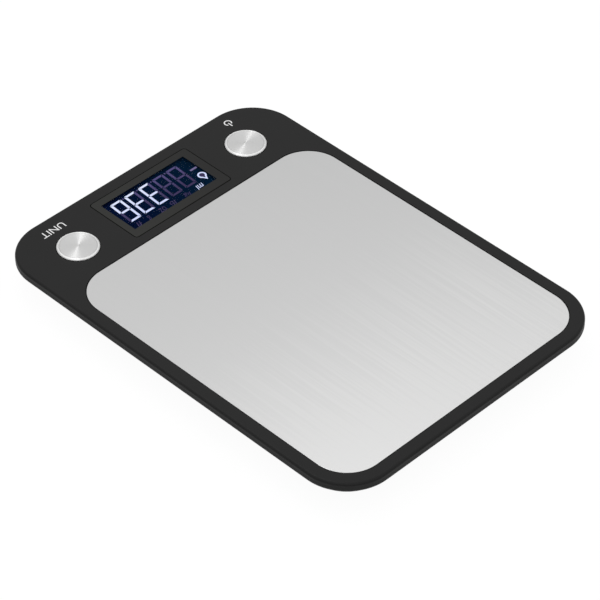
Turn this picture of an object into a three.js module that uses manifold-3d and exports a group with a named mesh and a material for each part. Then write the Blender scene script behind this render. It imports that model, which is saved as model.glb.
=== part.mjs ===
// Slim battery kitchen scale. Units are millimetres, +Z is up, the display end is -Y, and the
// origin is under the middle of the case, at the bottom of the feet. A floating top with the
// steel plate, the display and the two buttons is carried by one bending load cell on a tray.
import * as THREE from "three";
import { mergeVertices } from "three/addons/utils/BufferGeometryUtils.js";
import Module from "manifold-3d";

const wasm = await Module();
wasm.setup();

// Case outline and main levels.
const CASE_WIDTH = 165.5;
const CASE_LENGTH = 227;
const CASE_CORNER = 24.1;
const FEET_Z = 2.2;
const RIM_BOTTOM_Z = 13.5;
const RIM_TOP_Z = 18.3;
const RIM_TOP_ROUND = 1.4;
const RIM_BOTTOM_ROUND = 1.2;
const SKIRT_WALL = 2.4;
const SKIN_UNDER_Z = 16.4;
const WEB_UNDER_Z = 15.2;
const DISPLAY_ZONE_Y = -69.5;
const GAP = 0.02;

// Weighing plate.
const PLATE_WIDTH = 151.65;
const PLATE_LENGTH = 175;
const PLATE_CORNER = 17.9;
const PLATE_Y = 19.2;
const PLATE_TOP_Z = 18.2;
const PLATE_THICK = 0.8;
const PLATE_ROUND = 0.15;
const GLUE_THICK = 0.2;
const GLUE_INSET = 3;
const PLATE_MARGIN = 0.35;
const RECESS_Z = PLATE_TOP_Z - PLATE_THICK - GLUE_THICK - 2 * GAP;

// Tray under the floating top.
const TRAY_INSET = 3.4;
const TRAY_WALL = 1.8;
const TRAY_FLOOR = 2;
const TRAY_FLOOR_Z = FEET_Z + TRAY_FLOOR;
const TRAY_KNEE_Z = 10.6;
const TRAY_TOP_Z = 14.4;
const TRAY_TAPER = 10.6;
const TRAY_RIB_X = 52;
const TRAY_RIB_Y = 68;
const TRAY_RIB_Z = 8;
const TRAY_RIB_THICK = 1.4;

// Feet.
const FOOT_RADIUS = 7;
const FOOT_X = 56;
const FOOT_Y = 86;
const FOOT_SEAT = 0.8;
const FOOT_SIDE_GAP = 0.2;

// Load cell and what holds it.
const CELL_LENGTH = 60;
const CELL_WIDTH = 14;
const CELL_HEIGHT = 7;
const CELL_BOTTOM_Z = 6.2;
const CELL_TOP_Z = CELL_BOTTOM_Z + CELL_HEIGHT;
const CELL_EYE_RADIUS = 2.5;
const CELL_EYE_OFFSET = 7;
const CELL_EYE_SLOT = 1.2;
const CELL_BOLTS = [17.5, 25.5];
const CELL_BOLT_HOLE = 2.1;
const SPACER_THICK = 0.8;
const SPACER_LENGTH = 18;
const STOP_GAP = 0.6;
const STOP_LENGTH = 6;
const POTTING_WIDTH = 12;
const POTTING_LENGTH = 17;
const POTTING_THICK = 0.6;

// Steel carrier between the load cell and the top cover.
const CARRIER_WIDTH = 112;
const CARRIER_LENGTH = 98;
const CARRIER_CORNER = 8;
const CARRIER_BOTTOM_Z = CELL_TOP_Z + SPACER_THICK;
const CARRIER_TOP_Z = WEB_UNDER_Z - GAP;
const CARRIER_WINDOW_WIDTH = 18;
const CARRIER_WINDOW_LENGTH = 22;
const CARRIER_SIDE_WINDOW_WIDTH = 20;
const CARRIER_SIDE_WINDOW_LENGTH = 58;
const CARRIER_SIDE_WINDOW_X = 32;
const CARRIER_SCREW_X = 49;
const CARRIER_SCREW_Y = 41;

// Battery bay, two AAA cells side by side.
const BAY_Y = -57.25;
const BAY_HALF_LENGTH = 25.5;
const BAY_HALF_WIDTH = 11.2;
const BAY_WALL = 3;
const BAY_CEILING_Z = 14.7;
const BAY_ROOF_Z = 15.3;
const BAY_POCKET_Z = 16;
const BATTERY_RADIUS = 5.25;
const BATTERY_LENGTH = 44.5;
const BATTERY_NUB = 0.8;
const BATTERY_NUB_RADIUS = 1.9;
const BATTERY_OFFSET = 5.4;
const BATTERY_Z = 9.25;
const CONTACT_THICK = 0.4;
const CONTACT_WIDTH = 8.6;
const CONTACT_HEIGHT = 8.6;
const CONTACT_GAP = 0.1;
const TAIL_Z = 12.6;
const TAIL_WIDTH = 2;
const TAIL_REACH = 4.6;

// Battery door, hinged on two tabs at its -Y edge.
const DOOR_HALF_LENGTH = 27;
const DOOR_THICK = 1.6;
const DOOR_SEAT_HALF_LENGTH = 27.3;
const DOOR_SEAT_HALF_WIDTH = 13;
const DOOR_HINGE_Y = BAY_Y - DOOR_SEAT_HALF_WIDTH + 0.25;
const DOOR_LENGTH = 25.35;
const DOOR_EDGE_GAP = 0.05;
const TAB_X = 15;
const TAB_WIDTH = 6;
const LATCH_WIDTH = 9;

// Display.
const LENS_WIDTH = 60.4;
const LENS_LENGTH = 32.5;
const LENS_CORNER = 1.5;
const LENS_THICK = 1.2;
const LENS_Y = -90;
const LENS_SEAT_Z = 17;
const LENS_MARGIN = 0.3;
const TAPE_THICK = 0.15;
const TAPE_WIDTH = 2.4;
const VIEW_X = -0.1;
const VIEW_Y = -91.1;
const VIEW_WIDTH = 53.6;
const VIEW_LENGTH = 24.8;
const VIEW_CORNER = 0.5;
const LCD_WIDTH = 57;
const LCD_MIN_Y = -104.8;
const LCD_MAX_Y = -75.3;
const LCD_BOTTOM_Z = 14.3;
const LCD_TOP_Z = 16.1;
const POLARISER_THICK = 0.84;
const POLARISER_GAP = 0.12;
const LIGHT_BOX_WIDTH = 55.5;
const LIGHT_BOX_MIN_Y = -102.6;
const LIGHT_BOX_WALL = 0.9;
const LIGHT_BOX_FLOOR = 0.6;
const LIGHT_BOX_TOP_Z = 14.26;
const GUIDE_WIDTH = 50;
const LED_SIZE = [1.3, 3, 1.4];
const ZEBRA_WIDTH = 52;
const ZEBRA_THICK = 1.8;

// Circuit board.
const PCB_HALF_WIDTH = 61;
const PCB_MIN_Y = -105;
const PCB_MAX_Y = -74.5;
const PCB_CORNER = 1.5;
const PCB_BOTTOM_Z = 10.3;
const PCB_TOP_Z = 11.9;
const PCB_SCREW_X = 35.3;
const PCB_SCREW_YS = [-100.5, -79.5];
const BOSS_RADIUS = 2.8;
const CHIP_RADIUS = 6;
const CHIP_HEIGHT = 1.6;
const CHIP_X = -12;
const CHIP_Y = -89;
const CAPACITOR_SIZE = [7.2, 4.2, 2.6];
const CAPACITOR_X = 16;
const CAPACITOR_Y = -95;

// Buttons.
const BUTTON_X = 53.3;
const BUTTON_Y = -88.1;
const BUTTON_RADIUS = 10.05;
const BUTTON_TOP_Z = 19;
const BUTTON_CHAMFER = 0.5;
const BUTTON_CAP_THICK = 1;
const BUTTON_HOLE_RADIUS = 10.35;
const KEY_RADIUS = 9.7;
const KEY_FLANGE_RADIUS = 11.7;
const KEY_FLANGE_THICK = 1.1;
const KEY_STEM_RADIUS = 2.5;
const KEY_STEM_Z = 14.05;
const SWITCH_SIDE = 6;
const SWITCH_TOP_Z = 13.2;
const PLUNGER_RADIUS = 1.6;
const PLUNGER_BOTTOM_Z = 12.75;
const PLUNGER_GAP = 0.15;

// Screws: head radius, head height, shaft radius, shaft length.
const CELL_SCREW = { head: 3.4, height: 1.3, shaft: 1.95, length: 8 };
const SINK_SCREW = { head: 3.4, height: 1.1, shaft: 1.95, length: 6.2 };
const CARRIER_SCREW = { head: 3, height: 1.3, shaft: 1.4, length: 2.7 };
const PCB_SCREW = { head: 2.3, height: 1.2, shaft: 1.05, length: 5 };
const SCREW_CLEARANCE = 0.15;
const CROSS_WIDTH = 0.7;
const CROSS_DEPTH = 0.7;

// Cables.
const CELL_CABLE_RADIUS = 1.25;
const BATTERY_WIRE_RADIUS = 0.65;

// Fineness of the round shapes.
const CORNER_STEPS = 5;
const ROUND_STEPS = 3;
const DISC_STEPS = 40;
const FOOT_STEPS = 24;
const SCREW_STEPS = 12;
const WIRE_SIDES = 3;

const PLASTIC = { color: 0x262626, roughness: 0.5, metalness: 0 };
const STEEL = { color: 0xc4c4c2, roughness: 0.32, metalness: 1 };
const ZINC = { color: 0xa8abad, roughness: 0.42, metalness: 1 };
const ALUMINIUM = { color: 0xb9bcc0, roughness: 0.4, metalness: 1 };
const NICKEL = { color: 0xcfc9bb, roughness: 0.28, metalness: 1 };
const RUBBER = { color: 0x1d1d1d, roughness: 0.9, metalness: 0 };
const WHITE = { color: 0xe9e9e4, roughness: 0.55, metalness: 0 };
const GREEN = { color: 0x1f5a36, roughness: 0.45, metalness: 0 };
const DARK_GLASS = { color: 0x20241f, roughness: 0.08, metalness: 0 };
const LCD_BLUE = { color: 0x0a1c30, roughness: 0.12, metalness: 0 };
const FILM = { color: 0x8d8f86, roughness: 0.7, metalness: 0 };
const EPOXY = { color: 0x141414, roughness: 0.35, metalness: 0 };
const AMBER = { color: 0xb98a2c, roughness: 0.5, metalness: 0 };
const SILICONE = { color: 0xdcdcd6, roughness: 0.6, metalness: 0 };
const CARBON = { color: 0x33313a, roughness: 0.8, metalness: 0 };
const CLEAR = { color: 0xdfe8ee, roughness: 0.1, metalness: 0 };
const JACKET_GREY = { color: 0x6f7276, roughness: 0.6, metalness: 0 };
const JACKET_RED = { color: 0xa01d1d, roughness: 0.6, metalness: 0 };
const JACKET_BLACK = { color: 0x151515, roughness: 0.6, metalness: 0 };
const CELL_JACKET = { color: 0x2f5c86, roughness: 0.35, metalness: 0.2 };

function solid(geometry) {
  const bare = geometry.clone();
  bare.deleteAttribute("normal");
  bare.deleteAttribute("uv");
  const merged = mergeVertices(bare, 1e-4);
  return new wasm.Manifold(
    new wasm.Mesh({
      numProp: 3,
      vertProperties: merged.attributes.position.array,
      triVerts: new Uint32Array(merged.index.array),
    }),
  );
}

function geometryOf(shape) {
  const mesh = shape.getMesh();
  const geometry = new THREE.BufferGeometry();
  geometry.setAttribute("position", new THREE.BufferAttribute(mesh.vertProperties, 3));
  geometry.setIndex(new THREE.BufferAttribute(mesh.triVerts, 1));
  return geometry;
}

function joined(shapes) {
  return shapes.reduce((whole, shape) => whole.add(shape));
}

function piece(name, shape, finish) {
  const geometry = shape.isBufferGeometry ? shape : geometryOf(shape);
  const mesh = new THREE.Mesh(geometry, new THREE.MeshStandardMaterial(finish));
  mesh.name = name;
  return mesh;
}

function at(object, x, y, z = 0) {
  object.position.set(x, y, z);
  return object;
}

function roundedRect(width, length, corner, x = 0, y = 0) {
  const right = width / 2 - corner;
  const far = length / 2 - corner;
  const quarter = Math.PI / 2;
  const shape = new THREE.Shape();
  shape.moveTo(x - right, y - far - corner);
  shape.absarc(x + right, y - far, corner, -quarter, 0, false);
  shape.absarc(x + right, y + far, corner, 0, quarter, false);
  shape.absarc(x - right, y + far, corner, quarter, 2 * quarter, false);
  shape.absarc(x - right, y - far, corner, 2 * quarter, 3 * quarter, false);
  return shape;
}

function slabGeometry(shape, bottom, top, steps = CORNER_STEPS) {
  const settings = { depth: top - bottom, bevelEnabled: false, curveSegments: steps };
  return new THREE.ExtrudeGeometry(shape, settings).translate(0, 0, bottom);
}

function slab(shape, bottom, top, steps = CORNER_STEPS) {
  return solid(slabGeometry(shape, bottom, top, steps));
}

// A slab whose two edges are both rounded or sloped inwards: reach across by rise up.
function edgedSlab(shape, bottom, top, reach, rise, steps) {
  const settings = {
    depth: top - bottom - 2 * rise,
    bevelThickness: rise,
    bevelSize: reach,
    bevelOffset: -reach,
    bevelSegments: steps,
    curveSegments: CORNER_STEPS,
  };
  return solid(new THREE.ExtrudeGeometry(shape, settings).translate(0, 0, bottom + rise));
}

function box(minX, maxX, minY, maxY, minZ, maxZ) {
  const geometry = new THREE.BoxGeometry(maxX - minX, maxY - minY, maxZ - minZ);
  geometry.translate((minX + maxX) / 2, (minY + maxY) / 2, (minZ + maxZ) / 2);
  return solid(geometry);
}

// A turned solid about Z. The profile is a list of [radius, z] from the lower axis point round
// to the upper one.
function turned(profile, steps) {
  const points = profile.map(([radius, z]) => new THREE.Vector2(radius, z));
  const geometry = new THREE.LatheGeometry(points, steps);
  return solid(geometry.rotateX(Math.PI / 2));
}

function rod(radius, bottom, top, x = 0, y = 0, steps = SCREW_STEPS) {
  const profile = [
    [0, bottom],
    [radius, bottom],
    [radius, top],
    [0, top],
  ];
  return turned(profile, steps).translate([x, y, 0]);
}

function sweep(curve, radius, steps, sides = WIRE_SIDES) {
  const ring = new THREE.Shape().absarc(0, 0, radius, 0, 2 * Math.PI, false);
  const settings = { steps, extrudePath: curve, curveSegments: sides, bevelEnabled: false };
  return new THREE.ExtrudeGeometry(ring, settings);
}

function fourCorners(x, ys) {
  return ys.flatMap((y) => [-x, x].map((side) => [side, y]));
}

// Top cover -----------------------------------------------------------------------------------

function coverShell() {
  const outline = roundedRect(CASE_WIDTH, CASE_LENGTH, CASE_CORNER);
  const wayBelow = RIM_BOTTOM_Z - 4 * RIM_TOP_ROUND;
  const wayAbove = RIM_TOP_Z + 4 * RIM_TOP_ROUND;
  const fromTop = edgedSlab(outline, wayBelow, RIM_TOP_Z, RIM_TOP_ROUND, RIM_TOP_ROUND, ROUND_STEPS);
  const low = RIM_BOTTOM_ROUND;
  const fromBottom = edgedSlab(outline, RIM_BOTTOM_Z, wayAbove, low, low, 2);
  const hollow = roundedRect(
    CASE_WIDTH - 2 * SKIRT_WALL,
    CASE_LENGTH - 2 * SKIRT_WALL,
    CASE_CORNER - SKIRT_WALL,
  );
  return fromTop.intersect(fromBottom).subtract(slab(hollow, 0, WEB_UNDER_Z));
}

function plateRecess() {
  const outline = roundedRect(
    PLATE_WIDTH + 2 * PLATE_MARGIN,
    PLATE_LENGTH + 2 * PLATE_MARGIN,
    PLATE_CORNER + PLATE_MARGIN,
    0,
    PLATE_Y,
  );
  return slab(outline, RECESS_Z, RIM_TOP_Z + 1);
}

// The deeper hollow over the circuit board, which ends at DISPLAY_ZONE_Y.
function displayHollow() {
  const outline = roundedRect(
    CASE_WIDTH - 2 * SKIRT_WALL,
    CASE_LENGTH - 2 * SKIRT_WALL,
    CASE_CORNER - SKIRT_WALL,
  );
  const whole = slab(outline, WEB_UNDER_Z - 1, SKIN_UNDER_Z);
  const end = box(-CASE_WIDTH, CASE_WIDTH, -CASE_LENGTH, DISPLAY_ZONE_Y, 0, RIM_TOP_Z);
  return whole.intersect(end);
}

function lensSeat() {
  const width = LENS_WIDTH + 2 * LENS_MARGIN;
  const length = LENS_LENGTH + 2 * LENS_MARGIN;
  const outline = roundedRect(width, length, LENS_CORNER + LENS_MARGIN, 0, LENS_Y);
  const view = roundedRect(VIEW_WIDTH, VIEW_LENGTH, VIEW_CORNER, VIEW_X, VIEW_Y);
  const seat = slab(outline, LENS_SEAT_Z, RIM_TOP_Z + 1, 2);
  return seat.add(slab(view, SKIN_UNDER_Z - 1, LENS_SEAT_Z + 1, 1));
}

function bayPocket() {
  const x = BAY_HALF_LENGTH + BAY_WALL + 1;
  const y = BAY_HALF_WIDTH + BAY_WALL + 1;
  return box(-x, x, BAY_Y - y, BAY_Y + y, WEB_UNDER_Z - 1, BAY_POCKET_Z);
}

function coverRibs() {
  const overlap = 0.2;
  const bottom = WEB_UNDER_Z - 2.6;
  const along = [-66, 66].map((x) =>
    box(x - 0.7, x + 0.7, -60, 92, bottom, WEB_UNDER_Z + overlap),
  );
  const across = [78, -36].map((y) =>
    box(-66, 66, y - 0.7, y + 0.7, bottom, WEB_UNDER_Z + overlap),
  );
  return joined([...along, ...across]);
}

function pcbBosses() {
  const overlap = 0.2;
  const places = fourCorners(PCB_SCREW_X, PCB_SCREW_YS);
  return joined(
    places.map(([x, y]) => rod(BOSS_RADIUS, PCB_TOP_Z + GAP, SKIN_UNDER_Z + overlap, x, y)),
  );
}

function coverHoles() {
  const radius = PCB_SCREW.shaft + SCREW_CLEARANCE;
  const boss = fourCorners(PCB_SCREW_X, PCB_SCREW_YS);
  const bossHoles = boss.map(([x, y]) => rod(radius, PCB_TOP_Z - 1, SKIN_UNDER_Z - 0.6, x, y));
  const web = fourCorners(CARRIER_SCREW_X, [PLATE_Y - CARRIER_SCREW_Y, PLATE_Y + CARRIER_SCREW_Y]);
  const webRadius = CARRIER_SCREW.shaft + SCREW_CLEARANCE;
  const webHoles = web.map(([x, y]) => rod(webRadius, WEB_UNDER_Z - 1, RECESS_Z - 0.3, x, y));
  const buttonHoles = [-BUTTON_X, BUTTON_X].map((x) =>
    rod(BUTTON_HOLE_RADIUS, SKIN_UNDER_Z - 1, RIM_TOP_Z + 1, x, BUTTON_Y, DISC_STEPS),
  );
  return joined([...bossHoles, ...webHoles, ...buttonHoles]);
}

function topCover() {
  const hollowed = coverShell().subtract(plateRecess()).subtract(displayHollow());
  const opened = hollowed.subtract(lensSeat()).subtract(bayPocket());
  const ribbed = opened.add(coverRibs()).add(pcbBosses());
  return piece("top_cover", ribbed.subtract(coverHoles()), PLASTIC);
}

// Weighing plate ------------------------------------------------------------------------------

function steelPlate() {
  const outline = roundedRect(PLATE_WIDTH, PLATE_LENGTH, PLATE_CORNER);
  const bottom = PLATE_TOP_Z - PLATE_THICK;
  const shape = edgedSlab(outline, bottom, PLATE_TOP_Z, PLATE_ROUND, PLATE_ROUND, 1);
  return at(piece("steel_plate", shape, STEEL), 0, PLATE_Y);
}

function plateAdhesive() {
  const width = PLATE_WIDTH - 2 * GLUE_INSET;
  const length = PLATE_LENGTH - 2 * GLUE_INSET;
  const outline = roundedRect(width, length, PLATE_CORNER - GLUE_INSET);
  const bottom = RECESS_Z + GAP;
  const shape = slabGeometry(outline, bottom, bottom + GLUE_THICK);
  return at(piece("plate_adhesive", shape, FILM), 0, PLATE_Y);
}

// Display -------------------------------------------------------------------------------------

function displayLens() {
  const outline = roundedRect(LENS_WIDTH, LENS_LENGTH, LENS_CORNER);
  const bottom = LENS_SEAT_Z + TAPE_THICK + 2 * GAP;
  const shape = edgedSlab(outline, bottom, bottom + LENS_THICK, 0.2, 0.2, 1);
  return at(piece("display_lens", shape, DARK_GLASS), 0, LENS_Y);
}

function lensTape() {
  const outer = roundedRect(LENS_WIDTH - 0.6, LENS_LENGTH - 0.6, LENS_CORNER);
  const innerWidth = LENS_WIDTH - 0.6 - 2 * TAPE_WIDTH;
  const innerLength = LENS_LENGTH - 0.6 - 2 * TAPE_WIDTH;
  const inner = roundedRect(innerWidth, innerLength, LENS_CORNER);
  const bottom = LENS_SEAT_Z + GAP;
  const frame = slab(outer, bottom, bottom + TAPE_THICK, 2);
  const shape = frame.subtract(slab(inner, bottom - 1, bottom + 1, 2));
  return at(piece("lens_tape", shape, EPOXY), 0, LENS_Y);
}

function lcdPolariser() {
  const width = VIEW_WIDTH - 2 * POLARISER_GAP;
  const length = VIEW_LENGTH - 2 * POLARISER_GAP;
  const outline = roundedRect(width, length, VIEW_CORNER);
  const bottom = LCD_TOP_Z + GAP;
  const shape = slabGeometry(outline, bottom, bottom + POLARISER_THICK, 2);
  return at(piece("lcd_polariser", shape, LCD_BLUE), VIEW_X, VIEW_Y);
}

function lcdPanel() {
  const x = LCD_WIDTH / 2;
  const shape = box(VIEW_X - x, VIEW_X + x, LCD_MIN_Y, LCD_MAX_Y, LCD_BOTTOM_Z, LCD_TOP_Z);
  return piece("lcd_panel", shape, CLEAR);
}

function backlightBox() {
  const x = LIGHT_BOX_WIDTH / 2;
  const bottom = PCB_TOP_Z + GAP;
  const minY = LIGHT_BOX_MIN_Y;
  const maxY = LCD_MAX_Y - 0.3;
  const wall = LIGHT_BOX_WALL;
  const outer = box(-x, x, minY, maxY, bottom, LIGHT_BOX_TOP_Z);
  const floor = bottom + LIGHT_BOX_FLOOR;
  const inner = box(-x + wall, x - wall, minY + wall, maxY - wall, floor, LCD_TOP_Z);
  return at(piece("backlight_box", outer.subtract(inner), WHITE), VIEW_X, 0);
}

function backlightGuide() {
  const x = GUIDE_WIDTH / 2;
  const wall = LIGHT_BOX_WALL + 0.1;
  const bottom = PCB_TOP_Z + LIGHT_BOX_FLOOR + 2 * GAP;
  const minY = LIGHT_BOX_MIN_Y + wall;
  const maxY = LCD_MAX_Y - 0.3 - wall;
  const shape = box(-x, x, minY, maxY, bottom, LIGHT_BOX_TOP_Z - 0.1);
  return at(piece("backlight_guide", shape, CLEAR), VIEW_X, 0);
}

function backlightLed() {
  const [thick, width, height] = LED_SIZE;
  const bottom = PCB_TOP_Z + LIGHT_BOX_FLOOR + 2 * GAP;
  const minX = GUIDE_WIDTH / 2 + 0.2;
  const body = box(minX, minX + thick, -width / 2, width / 2, bottom, bottom + height);
  return at(piece("backlight_led", body, AMBER), VIEW_X, LENS_Y);
}

function zebraStrip() {
  const x = ZEBRA_WIDTH / 2;
  const minY = LCD_MIN_Y + 0.1;
  const shape = box(-x, x, minY, minY + ZEBRA_THICK, PCB_TOP_Z + GAP, LCD_BOTTOM_Z - GAP);
  return at(piece("zebra_strip", shape, CARBON), VIEW_X, 0);
}

// Circuit board -------------------------------------------------------------------------------

function mainPcb() {
  const middle = (PCB_MIN_Y + PCB_MAX_Y) / 2;
  const outline = roundedRect(2 * PCB_HALF_WIDTH, PCB_MAX_Y - PCB_MIN_Y, PCB_CORNER, 0, middle);
  const board = slab(outline, PCB_BOTTOM_Z, PCB_TOP_Z, 3);
  const holes = fourCorners(PCB_SCREW_X, PCB_SCREW_YS).map(([x, y]) =>
    rod(PCB_SCREW.shaft + 2 * SCREW_CLEARANCE, PCB_BOTTOM_Z - 1, PCB_TOP_Z + 1, x, y),
  );
  return piece("main_pcb", board.subtract(joined(holes)), GREEN);
}

function chip() {
  const top = PCB_BOTTOM_Z - GAP;
  const low = top - CHIP_HEIGHT;
  const profile = [
    [0, low],
    [0.55 * CHIP_RADIUS, low + 0.25],
    [0.85 * CHIP_RADIUS, low + 0.75],
    [CHIP_RADIUS, top],
    [0, top],
  ];
  return at(piece("chip", turned(profile, 24), EPOXY), CHIP_X, CHIP_Y);
}

function capacitor() {
  const [x, y, z] = CAPACITOR_SIZE;
  const top = PCB_BOTTOM_Z - GAP;
  const outline = roundedRect(x, y, 0.4);
  const shape = slabGeometry(outline, top - z, top, 2);
  return at(piece("capacitor", shape, AMBER), CAPACITOR_X, CAPACITOR_Y);
}

function switchBase(name, x) {
  const half = SWITCH_SIDE / 2;
  const bottom = PCB_TOP_Z + GAP;
  const body = box(-half, half, -half, half, bottom, SWITCH_TOP_Z);
  const hole = rod(PLUNGER_RADIUS + PLUNGER_GAP, bottom + 0.1, SWITCH_TOP_Z + 1);
  return at(piece(name, body.subtract(hole), EPOXY), x, BUTTON_Y);
}

// Screws --------------------------------------------------------------------------------------

// The head sits on z = 0 and the shaft runs up from it.
function panScrew(name, size) {
  const crown = 0.4 * size.head;
  const profile = [
    [0, -size.height],
    [crown, -size.height],
    [0.85 * size.head, -0.75 * size.height],
    [size.head, -0.3 * size.height],
    [size.head, 0],
    [size.shaft, 0],
    [size.shaft, size.length - 0.4],
    [0.6 * size.shaft, size.length],
    [0, size.length],
  ];
  const whole = turned(profile, SCREW_STEPS);
  const arm = 0.6 * size.head;
  const deep = CROSS_DEPTH - size.height;
  const half = CROSS_WIDTH / 2;
  const across = box(-arm, arm, -half, half, -size.height - 1, deep);
  const along = box(-half, half, -arm, arm, -size.height - 1, deep);
  return piece(name, whole.subtract(across).subtract(along), ZINC);
}

// The flat head ends at z = 0 and the shaft runs down from it.
function sunkScrew(name, size) {
  const profile = [
    [0, -size.length],
    [0.6 * size.shaft, -size.length],
    [size.shaft, 0.4 - size.length],
    [size.shaft, -size.height],
    [size.head - 0.1, -0.15],
    [size.head - 0.1, 0],
    [0, 0],
  ];
  const whole = turned(profile, SCREW_STEPS);
  const arm = 0.5 * size.head;
  const half = CROSS_WIDTH / 2;
  const across = box(-arm, arm, -half, half, -CROSS_DEPTH, 1);
  const along = box(-half, half, -arm, arm, -CROSS_DEPTH, 1);
  return piece(name, whole.subtract(across).subtract(along), ZINC);
}

function pcbScrews() {
  const places = fourCorners(PCB_SCREW_X, PCB_SCREW_YS);
  return places.map(([x, y], i) =>
    at(panScrew(`pcb_screw_${i + 1}`, PCB_SCREW), x, y, PCB_BOTTOM_Z - GAP),
  );
}

function carrierScrews() {
  const ys = [PLATE_Y - CARRIER_SCREW_Y, PLATE_Y + CARRIER_SCREW_Y];
  const places = fourCorners(CARRIER_SCREW_X, ys);
  return places.map(([x, y], i) =>
    at(panScrew(`carrier_screw_${i + 1}`, CARRIER_SCREW), x, y, CARRIER_BOTTOM_Z - GAP),
  );
}

function freeEndScrews() {
  return CELL_BOLTS.map((offset, i) =>
    at(sunkScrew(`cell_top_screw_${i + 1}`, SINK_SCREW), 0, PLATE_Y - offset, CARRIER_TOP_Z),
  );
}

function fixedEndScrews() {
  return CELL_BOLTS.map((offset, i) =>
    at(panScrew(`cell_base_screw_${i + 1}`, CELL_SCREW), 0, PLATE_Y + offset, cellSeatZ() - GAP),
  );
}

// The level inside the tray floor that the heads of the fixed-end screws pull against.
function cellSeatZ() {
  return FEET_Z + CELL_SCREW.height + 0.15;
}

// Load cell -----------------------------------------------------------------------------------

function crossRod(radius, y, z) {
  const bar = rod(radius, -CELL_WIDTH, CELL_WIDTH, 0, 0, 20);
  return bar.rotate([0, 90, 0]).translate([0, y, z]);
}

function loadCell() {
  const y = CELL_LENGTH / 2;
  const x = CELL_WIDTH / 2;
  const bar = box(-x, x, -y, y, CELL_BOTTOM_Z, CELL_TOP_Z);
  const middle = (CELL_BOTTOM_Z + CELL_TOP_Z) / 2;
  const eyes = [-CELL_EYE_OFFSET, CELL_EYE_OFFSET].map((place) =>
    crossRod(CELL_EYE_RADIUS, place, middle),
  );
  const half = CELL_EYE_SLOT / 2;
  const reach = CELL_EYE_OFFSET;
  const slot = box(-2 * x, 2 * x, -reach, reach, middle - half, middle + half);
  const bolts = CELL_BOLTS.flatMap((offset) =>
    [-offset, offset].map((place) => rod(CELL_BOLT_HOLE, 0, RIM_TOP_Z, 0, place)),
  );
  const shape = bar.subtract(joined([...eyes, slot, ...bolts]));
  return at(piece("load_cell", shape, ALUMINIUM), 0, PLATE_Y);
}

function gaugePotting(name, bottom) {
  const outline = roundedRect(POTTING_WIDTH, POTTING_LENGTH, 1.5);
  const shape = slabGeometry(outline, bottom, bottom + POTTING_THICK, 3);
  return at(piece(name, shape, SILICONE), 0, PLATE_Y);
}

function cellSpacer(name, side, bottom) {
  const x = CELL_WIDTH / 2;
  const outer = CELL_LENGTH / 2;
  const inner = outer - SPACER_LENGTH;
  const minY = side > 0 ? inner : -outer;
  const plate = box(-x, x, minY, minY + SPACER_LENGTH, bottom + GAP, bottom + SPACER_THICK - GAP);
  const holes = CELL_BOLTS.map((offset) => rod(CELL_BOLT_HOLE, 0, RIM_TOP_Z, 0, side * offset));
  return at(piece(name, plate.subtract(joined(holes)), ALUMINIUM), 0, PLATE_Y);
}

function sunkHole(y) {
  const rim = CARRIER_TOP_Z;
  const seat = SINK_SCREW.height + SCREW_CLEARANCE;
  const wide = SINK_SCREW.head + SCREW_CLEARANCE;
  const profile = [
    [0, rim - 3],
    [CELL_BOLT_HOLE, rim - 3],
    [CELL_BOLT_HOLE, rim - seat],
    [wide, rim - 0.1],
    [wide, rim + 1],
    [0, rim + 1],
  ];
  return turned(profile, SCREW_STEPS).translate([0, y, 0]);
}

function carrierPlate() {
  const outline = roundedRect(CARRIER_WIDTH, CARRIER_LENGTH, CARRIER_CORNER);
  const bottom = CARRIER_BOTTOM_Z;
  const plate = slab(outline, bottom, CARRIER_TOP_Z, 3);
  const gaugeWindow = roundedRect(CARRIER_WINDOW_WIDTH, CARRIER_WINDOW_LENGTH, 3);
  const sides = [-CARRIER_SIDE_WINDOW_X, CARRIER_SIDE_WINDOW_X].map((x) =>
    roundedRect(CARRIER_SIDE_WINDOW_WIDTH, CARRIER_SIDE_WINDOW_LENGTH, 4, x, 0),
  );
  const windows = [gaugeWindow, ...sides].map((shape) => slab(shape, bottom - 1, RIM_TOP_Z, 2));
  const cornerYs = [-CARRIER_SCREW_Y, CARRIER_SCREW_Y];
  const holes = fourCorners(CARRIER_SCREW_X, cornerYs).map(([x, y]) =>
    rod(CARRIER_SCREW.shaft + SCREW_CLEARANCE, bottom - 1, RIM_TOP_Z, x, y),
  );
  const sunk = CELL_BOLTS.map((offset) => sunkHole(-offset));
  const shape = plate.subtract(joined([...windows, ...holes, ...sunk]));
  return at(piece("carrier_plate", shape, ZINC), 0, PLATE_Y);
}

// Tray ----------------------------------------------------------------------------------------

function insetOutline(inset) {
  return roundedRect(CASE_WIDTH - 2 * inset, CASE_LENGTH - 2 * inset, CASE_CORNER - inset);
}

// Both skins of the tray slope alike, so its wall keeps one thickness down to the floor.
function trayShell() {
  const rise = TRAY_KNEE_Z - FEET_Z;
  const slope = TRAY_TAPER / rise;
  const across = TRAY_WALL * Math.hypot(1, slope);
  const outer = edgedSlab(insetOutline(TRAY_INSET), FEET_Z, 40, TRAY_TAPER, rise, 1);
  const innerKnee = TRAY_KNEE_Z + (across - TRAY_WALL) / slope;
  const innerRise = innerKnee - TRAY_FLOOR_Z;
  const innerOutline = insetOutline(TRAY_INSET + TRAY_WALL);
  const inner = edgedSlab(innerOutline, TRAY_FLOOR_Z, 40, innerRise * slope, innerRise, 1);
  const trim = box(-CASE_WIDTH, CASE_WIDTH, -CASE_LENGTH, CASE_LENGTH, TRAY_TOP_Z, 60);
  return outer.subtract(trim).subtract(inner);
}

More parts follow.
